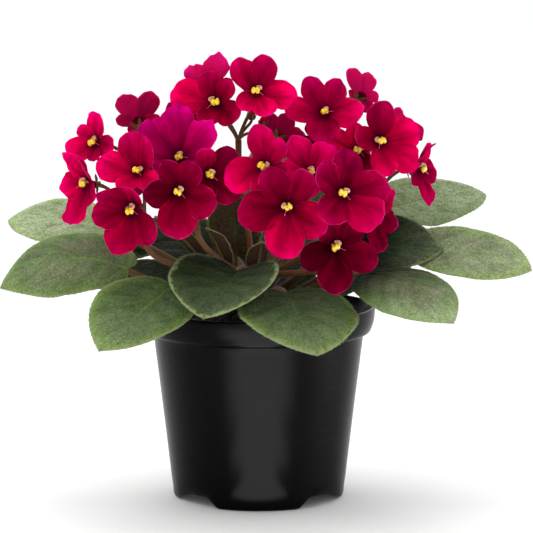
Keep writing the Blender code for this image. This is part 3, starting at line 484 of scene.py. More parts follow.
class Finish:
    """A Principled material, and short calls that add the nodes it needs."""

    def __init__(self, name, roughness, specular, sheen=0.0, sheen_tint=(1, 1, 1)):
        self.material = bpy.data.materials.new(name)
        self.material.use_nodes = True
        self.tree = self.material.node_tree
        self.shader = self.tree.nodes["Principled BSDF"]
        self.shader.inputs["Roughness"].default_value = roughness
        self.shader.inputs["Specular IOR Level"].default_value = specular
        self.shader.inputs["Sheen Weight"].default_value = sheen
        self.shader.inputs["Sheen Tint"].default_value = (*sheen_tint, 1)

    def node(self, kind, inputs=None, **settings):
        """Adds a node. inputs are values or other nodes' outputs, and settings its own options."""
        made = self.tree.nodes.new("ShaderNode" + kind)
        for key, value in settings.items():
            setattr(made, key, value)
        for key, value in (inputs or {}).items():
            self.feed(value, made.inputs[key])
        return made

    def feed(self, value, socket):
        """Links an output to a socket, or sets the socket to a value."""
        if isinstance(value, bpy.types.NodeSocket):
            self.tree.links.new(value, socket)
        elif isinstance(value, tuple) and socket.type == "RGBA" and len(value) == 3:
            socket.default_value = (*value, 1)
        else:
            socket.default_value = value

    def mark(self, name):
        """A mark that the piece carries at each of its points."""
        return self.node("Attribute", attribute_name=name).outputs["Fac"]

    def place(self):
        return self.node("TexCoord").outputs["Object"]

    def math(self, operation, first, second):
        return self.node("Math", {0: first, 1: second}, operation=operation).outputs[0]

    def times(self, first, second):
        return self.math("MULTIPLY", first, second)

    def ramp(self, value, *stops):
        """A colour ramp. A stop is a place and a number or a colour."""
        made = self.node("ValToRGB", {"Fac": value})
        elements = made.color_ramp.elements
        while len(elements) < len(stops):
            elements.new(0.5)
        for element, (place, colour) in zip(elements, stops):
            element.position = place
            colour = (colour,) * 3 if isinstance(colour, (int, float)) else colour
            element.color = (*colour, 1)
        return made.outputs["Color"]

    def noise(self, scale, detail=3.0, roughness=0.5, vector=None):
        vector = vector if vector is not None else self.place()
        inputs = {"Vector": vector, "Scale": scale, "Detail": detail, "Roughness": roughness}
        return self.node("TexNoise", inputs).outputs["Fac"]

    def cells(self, scale):
        """Rounded cells: how far each place is from the middle of its cell."""
        made = self.node("TexVoronoi", {"Vector": self.place(), "Scale": scale}, feature="SMOOTH_F1")
        return made.outputs["Distance"]

    def mix(self, factor, first, second, blend="MIX"):
        """Two colours mixed. The Mix node's colours are its sockets 6 and 7, and its result is 2."""
        inputs = {"Factor": factor, 6: first, 7: second}
        return self.node("Mix", inputs, data_type="RGBA", blend_type=blend).outputs[2]

    def tinted(self, colour, tint, share=1.0):
        """A colour multiplied by another one, or by grey."""
        return self.mix(share, colour, tint, "MULTIPLY")

    def scaled(self, colour, value):
        """A colour times a number."""
        return self.node("VectorMath", {0: colour, "Scale": value}, operation="SCALE").outputs[0]

    def bump(self, height, distance, strength=1.0, normal=None):
        inputs = {"Height": height, "Distance": distance, "Strength": strength}
        if normal is not None:
            inputs["Normal"] = normal
        return self.node("Bump", inputs).outputs["Normal"]

    def finish(self, colour=None, roughness=None, normal=None):
        if colour is not None:
            self.feed(colour, self.shader.inputs["Base Color"])
        if roughness is not None:
            self.feed(roughness, self.shader.inputs["Roughness"])
        if normal is not None:
            self.feed(normal, self.shader.inputs["Normal"])
        return self.material


def petal_finish():
    """Velvet crimson: painted shade at the throat and in its folds, and pink in patches along the very
    edge, partly a painted highlight.
    """
    f = Finish("petal_velvet", 0.85, specular=0.0, sheen=0.16, sheen_tint=(1.0, 0.0, 0.2))
    reach, across = f.mark("reach"), f.mark("across")
    # Painted shade, deepening towards the throat.
    colour = f.ramp(reach, (0.0, (0.030, 0.0, 0.003)), (0.1, (0.095, 0.0, 0.009)),
                    (0.33, (0.255, 0.0, 0.018)), (0.66, (0.375, 0.0, 0.031)), (0.9, (0.46, 0.0, 0.046)),
                    (1.0, (0.53, 0.0, 0.068)))

    def drawn_out(sideways, outwards):
        """A place for noise that runs along the petal, and differs from petal to petal."""
        places = {"X": f.times(across, sideways), "Y": f.times(reach, outwards), "Z": f.mark("number")}
        return f.node("CombineXYZ", places).outputs[0]

    grain = drawn_out(9.0, 1.3)
    streak = f.ramp(f.noise(1.6, 5.0, 0.6, grain), (0.3, 0.88), (0.7, 1.08))
    # Painted shade in broad folds running along the petal.
    painted_fold_shade = f.ramp(f.noise(1.0, 2.0, 0.5, drawn_out(2.4, 0.9)), (0.3, 0.66), (0.68, 1.22))
    blotch = f.ramp(f.noise(140.0, 4.0, 0.6), (0.3, 0.8), (0.7, 1.15))
    for pattern in (streak, painted_fold_shade, blotch):
        colour = f.tinted(colour, pattern)
    # Painted shade along each petal's middle crease.
    colour = f.tinted(colour, (0.35, 0.0, 0.35), f.times(f.mark("crease"), 0.4))
    colour = f.mix(f.mark("purple"), colour, f.tinted(colour, (0.82, 1.0, 2.3)))
    colour = f.mix(f.times(f.mark("under"), 0.55), colour, (0.50, 0.006, 0.10))
    # Painted light and shade, set petal by petal.
    colour = f.scaled(colour, f.mark("light"))
    # Pink patches along the very edge: paler curled edges, partly a painted highlight where they catch the
    # light.
    width = f.ramp(f.noise(120.0, 3.0, 0.6), (0.5, 0.04), (0.7, 1.3))
    rim = f.ramp(f.math("DIVIDE", f.mark("margin"), width), (0.3, 1.0), (1.0, 0.0))
    rim = f.times(rim, f.ramp(reach, (0.5, 0.0), (0.78, 0.55)))
    colour = f.mix(rim, colour, (0.72, 0.02, 0.15))
    limit = f.node("VectorMath", {0: colour, 1: (0.85, 0.5, 0.5)}, operation="MINIMUM").outputs[0]
    velvet = f.bump(f.noise(5200.0, 2.0), 0.00012, 0.35)
    veins = f.bump(f.noise(1.6, 5.0, 0.6, grain), 0.0011, 0.6, velvet)
    return f.finish(limit, normal=veins)


def stamen_finish():
    """Bright yellow anthers, cream to pink filaments and a pink style."""
    f = Finish("anther_yellow", 0.45, specular=0.35)
    colour = f.ramp(f.mark("kind"), (0.0, (0.92, 0.62, 0.025)), (0.5, (0.66, 0.33, 0.20)),
                    (1.0, (0.62, 0.07, 0.15)))
    colour = f.tinted(colour, f.ramp(f.noise(900.0, 3.0), (0.32, 0.62), (0.62, 1.12)))
    return f.finish(colour, normal=f.bump(f.noise(2600.0, 3.0), 0.0002, 0.5))


def leaf_finish():
    """Hairy quilted green: greyer in the middle, with a fringe of pale fuzz along the edge, and painted
    light, shade and sheen.
    """
    f = Finish("leaf_green", 0.65, specular=0.03, sheen=0.02, sheen_tint=(0.85, 1.0, 0.7))
    margin, vein, grey, yellow = (f.mark(m) for m in ("margin", "vein", "grey", "yellow"))
    green = f.ramp(f.noise(60.0, 5.0, 0.65), (0.3, (0.043, 0.086, 0.022)), (0.7, (0.132, 0.205, 0.072)))
    brown = f.ramp(f.noise(95.0, 5.0, 0.6), (0.35, (0.072, 0.072, 0.034)), (0.65, (0.175, 0.175, 0.105)))
    middle = f.times(f.ramp(margin, (0.05, 0.0), (0.5, 1.0)), grey)
    patch = f.ramp(f.noise(85.0, 4.0, 0.65), (0.38, 0.0), (0.6, 1.0))
    colour = f.mix(f.times(middle, patch), green, brown)
    # Painted shade in the grooves between the quilted puffs, and painted light on their tops.
    colour = f.tinted(colour, f.ramp(f.mark("puff"), (0.0, 0.74), (0.8, 1.16)))
    edge = f.times(f.ramp(margin, (0.0, 1.0), (0.32, 0.0)), yellow)
    colour = f.mix(f.times(edge, 0.8), colour, (0.165, 0.250, 0.030))
    colour = f.mix(f.times(vein, 0.85), colour, (0.190, 0.360, 0.060))
    red = f.times(f.mark("red"), f.ramp(f.noise(150.0, 4.0, 0.6), (0.4, 0.35), (0.62, 1.0)))
    colour = f.mix(red, colour, (0.200, 0.055, 0.030))
    frosted = f.ramp(f.noise(160.0, 5.0, 0.7), (0.3, 0.2), (0.7, 1.0))
    # Frost: pale hairs, partly a painted sheen on leaves that are painted light.
    colour = f.mix(f.times(f.mark("frost"), frosted), colour, (0.42, 0.45, 0.33))
    colour = f.tinted(colour, f.ramp(f.noise(1100.0, 3.0, 0.75), (0.35, 0.58), (0.68, 1.45)))
    colour = f.mix(f.times(f.mark("under"), 0.85), colour, (0.140, 0.060, 0.032))
    # Painted light and shade, from the leaf's look and its shading along and across the blade.
    colour = f.scaled(colour, f.mark("light"))
    fringe = f.ramp(f.noise(330.0, 5.0, 0.75), (0.36, 0.015), (0.66, 0.17))
    rim = f.ramp(f.math("DIVIDE", margin, fringe), (0.15, 1.0), (1.0, 0.0))
    colour = f.mix(f.times(rim, f.mark("fringe")), colour, (0.250, 0.315, 0.135))
    fuzz = f.bump(f.noise(2400.0, 3.0, 0.7), 0.0003, 0.55)
    return f.finish(colour, normal=f.bump(f.cells(520.0), 0.0013, 0.6, fuzz))


def stem_finish():
    """Reddish brown stems, greener in patches, with painted shade near the crown."""
    f = Finish("stem_red", 0.6, specular=0.08, sheen=0.03, sheen_tint=(1.0, 0.6, 0.4))
    patch = f.noise(70.0, 4.0, 0.6)
    red = f.ramp(patch, (0.3, (0.070, 0.019, 0.008)), (0.7, (0.165, 0.052, 0.018)))
    fresh = f.ramp(patch, (0.3, (0.060, 0.050, 0.014)), (0.7, (0.130, 0.110, 0.035)))
    colour = f.mix(f.mark("green"), red, fresh)
    # Painted shade: darker near the crown, where the leaves shade it.
    colour = f.mix(f.mark("deep"), colour, (0.012, 0.004, 0.003))
    colour = f.tinted(colour, f.ramp(f.noise(1500.0, 3.0, 0.6), (0.35, 0.75), (0.7, 1.2)))
    return f.finish(colour, normal=f.bump(f.noise(1800.0, 3.0), 0.0002, 0.5))


def hair_finish():
    """Pale grey green hairs."""
    f = Finish("plant_hair", 0.7, specular=0.1)
    colour = f.ramp(f.noise(200.0, 2.0), (0.3, (0.30, 0.34, 0.22)), (0.7, (0.52, 0.54, 0.38)))
    # Scaled by tone and painted light; on a leaf this follows the leaf's painted light and shade.
    return f.finish(f.scaled(colour, f.mark("light")))


def soil_finish():
    """Near-black moist potting mix."""
    f = Finish("potting_soil", 0.9, specular=0.25)
    colour = f.ramp(f.noise(900.0, 5.0, 0.7), (0.3, (0.004, 0.003, 0.002)),
                    (0.62, (0.012, 0.008, 0.006)), (0.8, (0.035, 0.025, 0.017)))
    colour = f.mix(f.mark("pale"), colour, (0.34, 0.27, 0.20))
    return f.finish(colour, normal=f.bump(f.noise(1500.0, 5.0, 0.75), 0.0008, 0.8))


def pot_finish():
    """Satin black moulded plastic, with a faint orange peel and fine rubbed marks."""
    f = Finish("pot_black_plastic", 0.32, specular=0.045)
    stretch = f.node("Mapping", {"Vector": f.place(), "Scale": (1.0, 1.0, 6.0)}).outputs[0]
    rough = f.ramp(f.noise(90.0, 5.0, 0.65, stretch), (0.3, 0.25), (0.7, 0.28))
    colour = f.ramp(f.noise(30.0, 4.0), (0.3, (0.0010, 0.0010, 0.0011)), (0.7, (0.0018, 0.0018, 0.0019)))
    peel = f.bump(f.noise(1100.0, 2.0), 0.00006, 0.25)
    return f.finish(colour, roughness=rough, normal=peel)


def floor_finish():
    """Matt white, a little uneven."""
    f = Finish("studio_floor", 0.9, specular=0.0)
    return f.finish(f.ramp(f.noise(3.0, 2.0), (0.3, 0.93), (0.7, 0.95)))


def foot_height(angle):
    """Height of the pot wall's lower edge at an angle in degrees."""
    shares = []
    for middle, half, slope in POT_FEET:
        from_foot = abs((angle - middle + 180) % 360 - 180)
        shares.append(smoothstep(0, 1, (from_foot - half) / slope))
    return FOOT_ARCH_HEIGHT * float(min(shares))


def body_radius(height):
    """Outside radius of the pot's side, which bulges a little at its middle."""
    low, high = (POT_BODY_BOTTOM_RADIUS, 0.0), (POT_BODY_TOP_RADIUS, POT_HEIGHT - POT_RIM_BAND)
    share = height / high[1]
    straight = low[0] + (high[0] - low[0]) * share
    middle_share = POT_BODY_MIDDLE[1] / high[1]
    bulge = POT_BODY_MIDDLE[0] - (low[0] + (high[0] - low[0]) * middle_share)
    return straight + bulge * (1 - ((share - middle_share) / 0.6) ** 2)


def pot_profile(foot):
    """Half section of the pot, from the middle of its underside to the middle of its inside."""
    bottom, top, rim = POT_BODY_BOTTOM_RADIUS, POT_BODY_TOP_RADIUS, POT_RIM_RADIUS
    rim_foot, plate = POT_HEIGHT - POT_RIM_BAND, BASE_PLATE_UNDERSIDE

    def near(radius, height, *offsets):
        return [(radius + out, height + up) for out, up in offsets]

    profile = [(radius, plate) for radius in (0.01, 12.0, 20.0, 28.0, bottom - FOOT_DEPTH - 0.7)]
    profile.append((bottom - FOOT_DEPTH - 0.15, max(plate - 0.5, foot + 0.3)))
    profile += near(bottom - FOOT_DEPTH, foot, (0.05, 0.15), (0.25, 0))
    profile += near(bottom, foot, (-0.95, 0), (-0.55, 0.12), (-0.25, 0.45), (-0.08, 0.95))
    for height in np.linspace(foot + 1.6, rim_foot - 0.5, 22):
        profile.append((body_radius(height) if height > 6 else bottom + 0.09 * height, height))
    profile += near(top, rim_foot, (0.02, -0.1), (0.15, 0.15), (0.9, 0.35), (2.2, 0.75), (3, 1.4), (3.5, 2.5))
    profile += near(rim, rim_foot, (-0.9, 4.4), (-0.35, 6.6), (-0.1, 9.2))
    profile += near(rim, POT_HEIGHT, (0, -1), (-0.08, -0.45), (-0.35, -0.12), (-0.8, 0), (-1.2, -0.1))
    profile += near(rim - POT_WALL, POT_HEIGHT, (-0.1, -0.6))
    profile += near(rim - POT_WALL, rim_foot, (-0.6, 6))
    profile += near(top - POT_WALL, rim_foot, (0.4, 1.2), (0, -0.6))
    profile += [(body_radius(height) - POT_WALL, height) for height in (60.0, 44.0, 26.0, 12.0)]
    profile += near(bottom - POT_WALL, plate + POT_WALL, (0, 1), (-1, 0))
    profile.append((0.01, plate + POT_WALL))
    return profile


def make_pot(finish):
    """The pot's wall turned round its axis, with its drain holes cut out."""
    turns = np.arange(POT_SIDES) * 360.0 / POT_SIDES
    columns = np.array([pot_profile(foot_height(turn)) for turn in turns])
    angle = np.radians(turns)[:, None]
    radii, heights = columns[..., 0], columns[..., 1]
    grid = np.stack([radii * np.cos(angle), radii * np.sin(angle), heights], -1).transpose(1, 0, 2)
    shape = Shape()
    shape.add(grid, grid_quads(len(grid), POT_SIDES, wrap=True))
    pot = weld(shape.build("pot_shell", finish), 2e-5)
    drills = Shape()
    for k in range(DRAIN_HOLES):
        turn = 2 * math.pi * k / DRAIN_HOLES
        x, y = DRAIN_HOLE_CIRCLE * math.cos(turn), DRAIN_HOLE_CIRCLE * math.sin(turn)
        drills.tube([(x, y, 3.5), (x, y, 9.0)], DRAIN_HOLE_RADIUS, 32)
    cutter = drills.build("drain_holes", finish)
    cut = pot.modifiers.new("holes", "BOOLEAN")
    cut.operation, cut.solver, cut.object = "DIFFERENCE", "MANIFOLD", cutter
    pot.data = bpy.data.meshes.new_from_object(pot.evaluated_get(bpy.context.evaluated_depsgraph_get()))
    pot.modifiers.clear()
    bpy.data.objects.remove(cutter)
    return placed(pot, "pot_plastic", "pot")


def soil_height(x, y):
    """Height of the soil's uneven top."""
    radius = np.hypot(x, y)
    heap = 2.0 * (1 - (radius / POT_BODY_TOP_RADIUS) ** 2) - 1.4
    lumps = 0.5 * np.sin(0.23 * x + 1.0) * np.cos(0.27 * y) + 0.35 * np.sin(0.61 * x - 0.5 * y)
    return SOIL_TOP + heap + lumps


def make_soil(finish):
    """The soil's rough top, its edge against the wall, and loose crumbs."""
    draw = np.random.default_rng(SEED)
    shape = Shape()
    radii = np.concatenate([np.linspace(0.3, SOIL_RADIUS, SOIL_RINGS), [SOIL_RADIUS + 0.3, SOIL_RADIUS]])
    turns = np.arange(SOIL_SIDES) * 2 * math.pi / SOIL_SIDES
    x, y = np.outer(radii, np.cos(turns)), np.outer(radii, np.sin(turns))
    z = soil_height(x, y) + draw.normal(0, SOIL_ROUGHNESS, x.shape)
    z[-2] = SOIL_TOP - 3.0
    z[-1] = SOIL_TOP - 7.0
    shape.add(np.stack([x, y, z], -1), grid_quads(len(radii), len(turns), wrap=True)[:, ::-1])
    for _ in range(CRUMBS):
        radius = (SOIL_RADIUS - 0.6) * math.sqrt(draw.uniform(0.02, 1))
        turn = draw.uniform(0, 2 * math.pi)
        cx, cy = radius * math.cos(turn), radius * math.sin(turn)
        size = draw.uniform(0.35, 1.0) ** 2 * 1.9 + 0.2
        axes = draw.normal(0, 1, (3, 3))
        axes = np.linalg.qr(axes)[0] * draw.uniform(0.55, 1.2, 3)[:, None] * size
        pale = 1.0 if draw.uniform() < PALE_CRUMBS else draw.uniform(0, 0.05)
        height = float(soil_height(cx, cy)) + size * draw.uniform(-0.1, 0.5)
        shape.blob((cx, cy, height), axes, rows=5, columns=6, pale=pale)
    return placed(shape.build("soil_surface", finish, flat=True), "soil", "soil")


def crown_radius(height):
    """The crown narrows slowly up to its shoulder, then fast."""
    below = min(height, CROWN_SHOULDER)
    above = max(0.0, height - CROWN_SHOULDER) / (CROWN_TOP - CROWN_SHOULDER)
    return CROWN_RADIUS - 0.08 * (below - SOIL_TOP) - 3.6 * above


def crown_point(angle, height):
    """A point just outside the crown and the way it faces. No angle means its top."""
    if angle is None:
        return np.array((*CROWN_CENTRE, CROWN_TOP + CLEARANCE)), UP
    turn = math.radians(angle)
    out = np.array((math.cos(turn), math.sin(turn), 0.0))
    return np.array((*CROWN_CENTRE, height)) + out * (crown_radius(height - 1.5) + CLEARANCE), out


def make_crown(finish):
    """The crown, ringed by old leaf scars."""
    x, y = CROWN_CENTRE
    lower, upper = np.linspace(SOIL_TOP - 4, CROWN_SHOULDER, 24), np.linspace(95, CROWN_TOP, 8)
    heights = np.concatenate([lower, upper])
    radii = [crown_radius(z) * (1 + 0.05 * math.sin(z * 1.9)) for z in heights]
    shape = Shape()
    # The whole crown has painted shade.
    shape.tube([(x, y, z) for z in heights], radii, 28, green=0.35, deep=0.7)
    return placed(shape.build("crown_stem", finish), "stem", "crown")


def leaf_edge(turn, half_width, outline, tooth):
    """Points of a blade's outline, in shares of its length: notched base, bowed sides, blunt tip."""
    widest, fullness, roundness, lobe = outline
    swing = np.cos(turn)
    notched = widest + lobe * (1 - np.exp(-(((math.pi - turn) / LEAF_NOTCH_WIDTH) ** 2)))
    reach = np.where(swing > 0, 1 - widest, notched)
    towards_tip = (1 - np.abs(swing) ** fullness) ** (1 / roundness)
    out = np.where(swing > 0, towards_tip, np.sin(turn)) * half_width
    grown = 1 + tooth * LEAF_TOOTH_DEPTH
    return widest + reach * swing * grown, out * grown


class Spine:
    """A leaf's midrib in space, with the blade's side and upward directions along it."""

    def __init__(self, base, tip, roll, arch):
        self.base, self.tip, self.arch = np.array(base, float), np.array(tip, float), arch
        self.length = float(np.linalg.norm(self.tip - self.base))
        self.roll = math.radians(roll)

    def at(self, share):
        """Points at shares of the midrib's length."""
        share = np.asarray(share, float)[..., None]
        return self.base + (self.tip - self.base) * share + UP * (4 * self.arch * share * (1 - share))

    def frame(self, share):
        """Directions ahead, to the blade's right side and out of its upper face."""
        ahead = unit(self.at(np.asarray(share) + 0.01) - self.at(np.asarray(share) - 0.01))
        side = unit(np.cross(ahead, UP))
        normal = np.cross(side, ahead)
        turned = side * math.cos(self.roll) - normal * math.sin(self.roll)
        return ahead, turned, np.cross(turned, ahead)


def leaf_grid(number, spine, width, cup, lift, phase):
    """The blade's middle surface, and its marks: how near each point is to the edge and to a vein, the
    puffs between veins, and the light and shade painted on it."""
    large = width > LEAF_LARGE
    outline = LEAF_OUTLINES.get(number, LEAF_OUTLINE)
    rows, columns = LEAF_GRID[large]
    length = spine.length
    t = np.linspace(0, 1, rows + 1)[:, None]
    w = np.linspace(-1, 1, 2 * columns + 1)[None, :]
    out, side = np.abs(w), np.sign(w)
    share = t**0.95
    turn = math.pi * (1 - t) ** 1.15
    tooth = np.where((t > 0.02) & (t < 0.985), 1 - 2 * np.cos(math.pi * LEAF_TEETH * t) ** 2, 0)
    half_width = width / length / 2
    edge_along, edge_out = leaf_edge(turn, half_width, outline, tooth * smoothstep(0.9, 1.0, out))
    along = share * (1 - out) + edge_along * out
    sideways = edge_out * out * side * length
    spread = out * edge_out / half_width
    rise = cup * spread**1.6 + lift * spread * np.maximum(0, 1 - np.maximum(along, 0) / 0.4)
    curl = np.where(side < 0, *LEAF_CURLS.get(number, (0.0, 0.0)))
    rise = rise + curl * spread**2 * smoothstep(0.1, 0.4, along)
    rise = rise + LEAF_WAVE * spread**2 * np.sin(phase + side * 1.3 + LEAF_WAVES[large] * t)
    height, turns = LEAF_RUFFLE
    rise = rise + height * spread**3 * np.sin(phase * 2 + side * 2.1 + turns * t)
    scale = width / LEAF_USUAL_WIDTH
    midrib = np.exp(-((sideways / (0.8 * scale)) ** 2))
    groove = MIDRIB_DEPTH * scale * (1 - 0.7 * share)
    order = (t - VEIN_SLANT * out**1.15 + 0.03 * side) * LEAF_VEINS
    between = np.abs(np.sin(math.pi * order))
    inner = smoothstep(0.03, 0.3, out) * smoothstep(1.0, 0.75, out)
    opened = edge_out / half_width
    rise = rise + QUILT_HEIGHT * (between**0.7 - 0.5) * inner * scale * smoothstep(0, 0.5, opened)
    rise = rise - groove * midrib * smoothstep(0, 0.35, opened)
    rise = rise - LEAF_EDGE_DROP * scale * smoothstep(0.86, 1.0, out) * smoothstep(0, 0.5, opened)
    vein = np.exp(-((between / VEIN_WIDTH) ** 2)) * smoothstep(0.9, 0.3, out) * (1 - 0.6 * share) * 0.3
    vein = np.maximum(vein, midrib * smoothstep(0.75, 0.1, share))
    # Painted light and shade: darker at the base, lighter towards the tip, and lighter on one side.
    near, far, tilt = LEAF_SHADES.get(number, LEAF_SHADE)
    shade = np.maximum(near + (far - near) * np.clip(along, 0, 1), 0.05)
    shade = shade * np.clip(1 + tilt * (1 - along) * sideways / width * 2, 0.2, 2)
    _, across, normal = spine.frame(along)
    points = spine.at(along) + across * sideways[..., None] + normal * rise[..., None]
    margin = (1 - out) * np.clip(opened * 1.1 + 0.1, 0, 1) * np.ones_like(share)
    puff = between**0.7 * inner + (1 - inner) * 0.7
    return points, {"margin": margin, "vein": vein, "puff": puff, "light": shade}


def make_leaf(number, finishes, draw):
    """One leaf: its blade, petiole and hairs."""
    base, tip, width, roll, arch, cup, lift, level = LEAVES[number]
    stem, blade, hair = finishes
    name = f"leaf_{number:02d}"
    angle = math.degrees(math.atan2(base[1] - CROWN_CENTRE[1], base[0] - CROWN_CENTRE[0]))
    large = width > LEAF_LARGE
    spine = Spine(base, tip, roll, arch)
    points, marks = leaf_grid(number, spine, width, cup, lift, draw.uniform(0, 2 * math.pi))
    look = LEAF_LOOKS.get(number, LEAF_LOOK if large else SMALL_LEAF_LOOK)
    light, grey, yellow, frost, fringe, red = look
    # The pale fuzz along the edge follows the painted light, and the frost gets a painted sheen where the
    # leaf is painted light.
    marks["fringe"] = fringe * np.clip(marks["light"], 0.3, 1.2)
    frost = frost + 0.28 * np.clip(marks["light"] - 0.9, 0, 1)
    # Painted light and shade: the shading along and across the blade, times the leaf's painted lightness.
    marks["light"] = marks["light"] * light
    rows, columns = points.shape[:2]
    across = np.abs(np.linspace(-1, 1, columns))[None, :]
    thickness = LEAF_THICKNESS * (1 - 0.75 * smoothstep(0.7, 1.0, across)) * np.ones((rows, 1))
    shape = Shape()
    shape.shell(points, thickness, **marks, grey=grey, yellow=yellow, frost=frost, red=red)
    placed(weld(shape.build(name + "_blade", blade)), "leaf", name)
    path, radii = make_petiole(name, spine, width, crown_point(angle, CROWN_LEVELS[level]), stem)
    hairs = leaf_hairs(name, points, path, radii, large, np.minimum(1.0, marks["light"]), hair)
    placed(hairs, "leaf")


def make_petiole(name, spine, width, root, finish):
    """A petiole and the rib that it becomes under the blade. Returns its hairy part's path and radii."""
    start, out = root
    ahead, _, normal = spine.frame(0.0)
    reach = float(np.linalg.norm(spine.base - start))
    below = normal * (LEAF_THICKNESS * 0.5)
    away = start + out * reach * 0.3 + UP * reach * 0.08
    end = spine.base - below
    path = bezier(start - out * 1.5, away, end - ahead * reach * 0.35, end, PETIOLE_STEPS)
    ribs = np.linspace(0.06, 0.92, RIB_STEPS)
    first, last = PETIOLE_RADIUS[width > LEAF_LARGE]
    rib_radii = last * (0.9 - 0.75 * ribs)
    depth = rib_radii + 0.2 + MIDRIB_DEPTH * width / LEAF_USUAL_WIDTH * (1 - 0.7 * ribs)
    path = np.concatenate([path, spine.at(ribs) - spine.frame(ribs)[2] * depth[:, None]])
    radii = np.concatenate([np.linspace(first, last, PETIOLE_STEPS), rib_radii])

    def along(petiole, rib, ends):
        """A mark that changes along the petiole and along the rib, and its values at the two ends."""
        rings = [np.linspace(*petiole, PETIOLE_STEPS), np.linspace(*rib, RIB_STEPS)]
        return np.concatenate([np.repeat(np.concatenate(rings), PETIOLE_SIDES), ends])

    stalk = Shape()
    # Painted shade on the petiole, deepest at the crown.
    stalk.tube(path, radii, PETIOLE_SIDES, heading=out, green=along((0.25, 0.6), (0.6, 0.9), [0.3, 0.9]),
               deep=along((0.9, 0.1), (0.1, 0.1), [0.9, 0.1]))
    placed(stalk.build(name + "_petiole", finish), "stem")
    return path[:HAIRS_END], radii[:HAIRS_END]


def hairs_round(shape, path, radii, count, hair, light, draw):
    """Hairs that stand out all round a stem."""
    lengths, thickness = hair
    at = draw.uniform(0, len(path) - 1.001, count)
    low, share = at.astype(int), (at % 1)[:, None]
    centre = path[low] * (1 - share) + path[low + 1] * share
    forward = unit(path[low + 1] - path[low])
    away = draw.normal(0, 1, (count, 3))
    away = unit(away - forward * (away * forward).sum(1, keepdims=True))
    roots = centre + away * radii[low][:, None] * 0.95
    lean = away + draw.normal(0, 0.25, away.shape)
    shape.hairs(roots, lean, draw.uniform(*lengths, count), thickness, light=light)


def leaf_hairs(name, points, path, radii, large, light, finish):
    """Pale hairs along a leaf's edge, over its top and round its petiole."""
    draw = np.random.default_rng(sum(map(ord, name)))
    normals = grid_normals(points)
    rows, columns = points.shape[:2]
    shape = Shape()
    edge_count, top_count, stem_count = LEAF_HAIRS[large]
    for column, inner in ((0, 1), (columns - 1, columns - 2)):
        at = draw.uniform(1, rows - 2, edge_count // 2)
        low, share = at.astype(int), (at % 1)[:, None]
        root = points[low, column] * (1 - share) + points[low + 1, column] * share
        outward = unit(root - points[low, inner])
        outward = outward * 0.8 + normals[low, column] * draw.normal(0.25, 0.3, (len(at), 1))
        outward = outward + draw.normal(0, 0.28, (len(at), 3))
        lengths, thickness = EDGE_HAIR
        # Edge and top hairs take the leaf's painted light and shade.
        shape.hairs(root, outward, draw.uniform(*lengths, len(at)), thickness,
                    light=np.repeat(0.15 + 0.7 * light[low, column], 4))
    r = draw.uniform(1, rows - 2, top_count)
    c = draw.uniform(0, columns - 1.001, top_count)
    i, j, a, b = r.astype(int), c.astype(int), (r % 1)[:, None], (c % 1)[:, None]
    root = (points[i, j] * (1 - a) + points[i + 1, j] * a) * (1 - b)
    root = root + (points[i, j + 1] * (1 - a) + points[i + 1, j + 1] * a) * b
    lean = normals[i, j] + draw.normal(0, 0.45, (top_count, 3))
    lengths, thickness = TOP_HAIR
    shape.hairs(root + normals[i, j] * 0.35, lean, draw.uniform(*lengths, top_count), thickness,
                light=np.repeat(0.7 * light[i, j], 4))
    hairs_round(shape, path, radii, stem_count, PETIOLE_HAIR, 0.15, draw)
    return shape.build(name + "_hairs", finish)


def bloom_axes(azimuth, elevation):
    """Rows are a bloom's right, its top and the way that it faces."""
    a, e = math.radians(azimuth), math.radians(elevation)
    facing = np.array((math.cos(a) * math.cos(e), math.sin(a) * math.cos(e), math.sin(e)))
    right = unit(np.cross(UP, facing))
    return np.stack([right, np.cross(facing, right), facing])


def petal_outline(length, lean, breadth, point):
    """Radius of a petal's rounded outline, at an angle from its own axis."""
    half = length * breadth
    centre = length - half
    inside = half**2 - (centre * np.sin(lean)) ** 2
    reach = centre * np.cos(lean) + np.sqrt(np.maximum(inside, 0.0))
    return reach * (1 - point * (np.sqrt(lean**2 + 0.01) - 0.1))


def petal_side(direction):
    """Which of a bloom's petals points this way."""
    if 20 < direction < 160:
        return "upper"
    return "lower" if 215 < direction < 325 else "side"


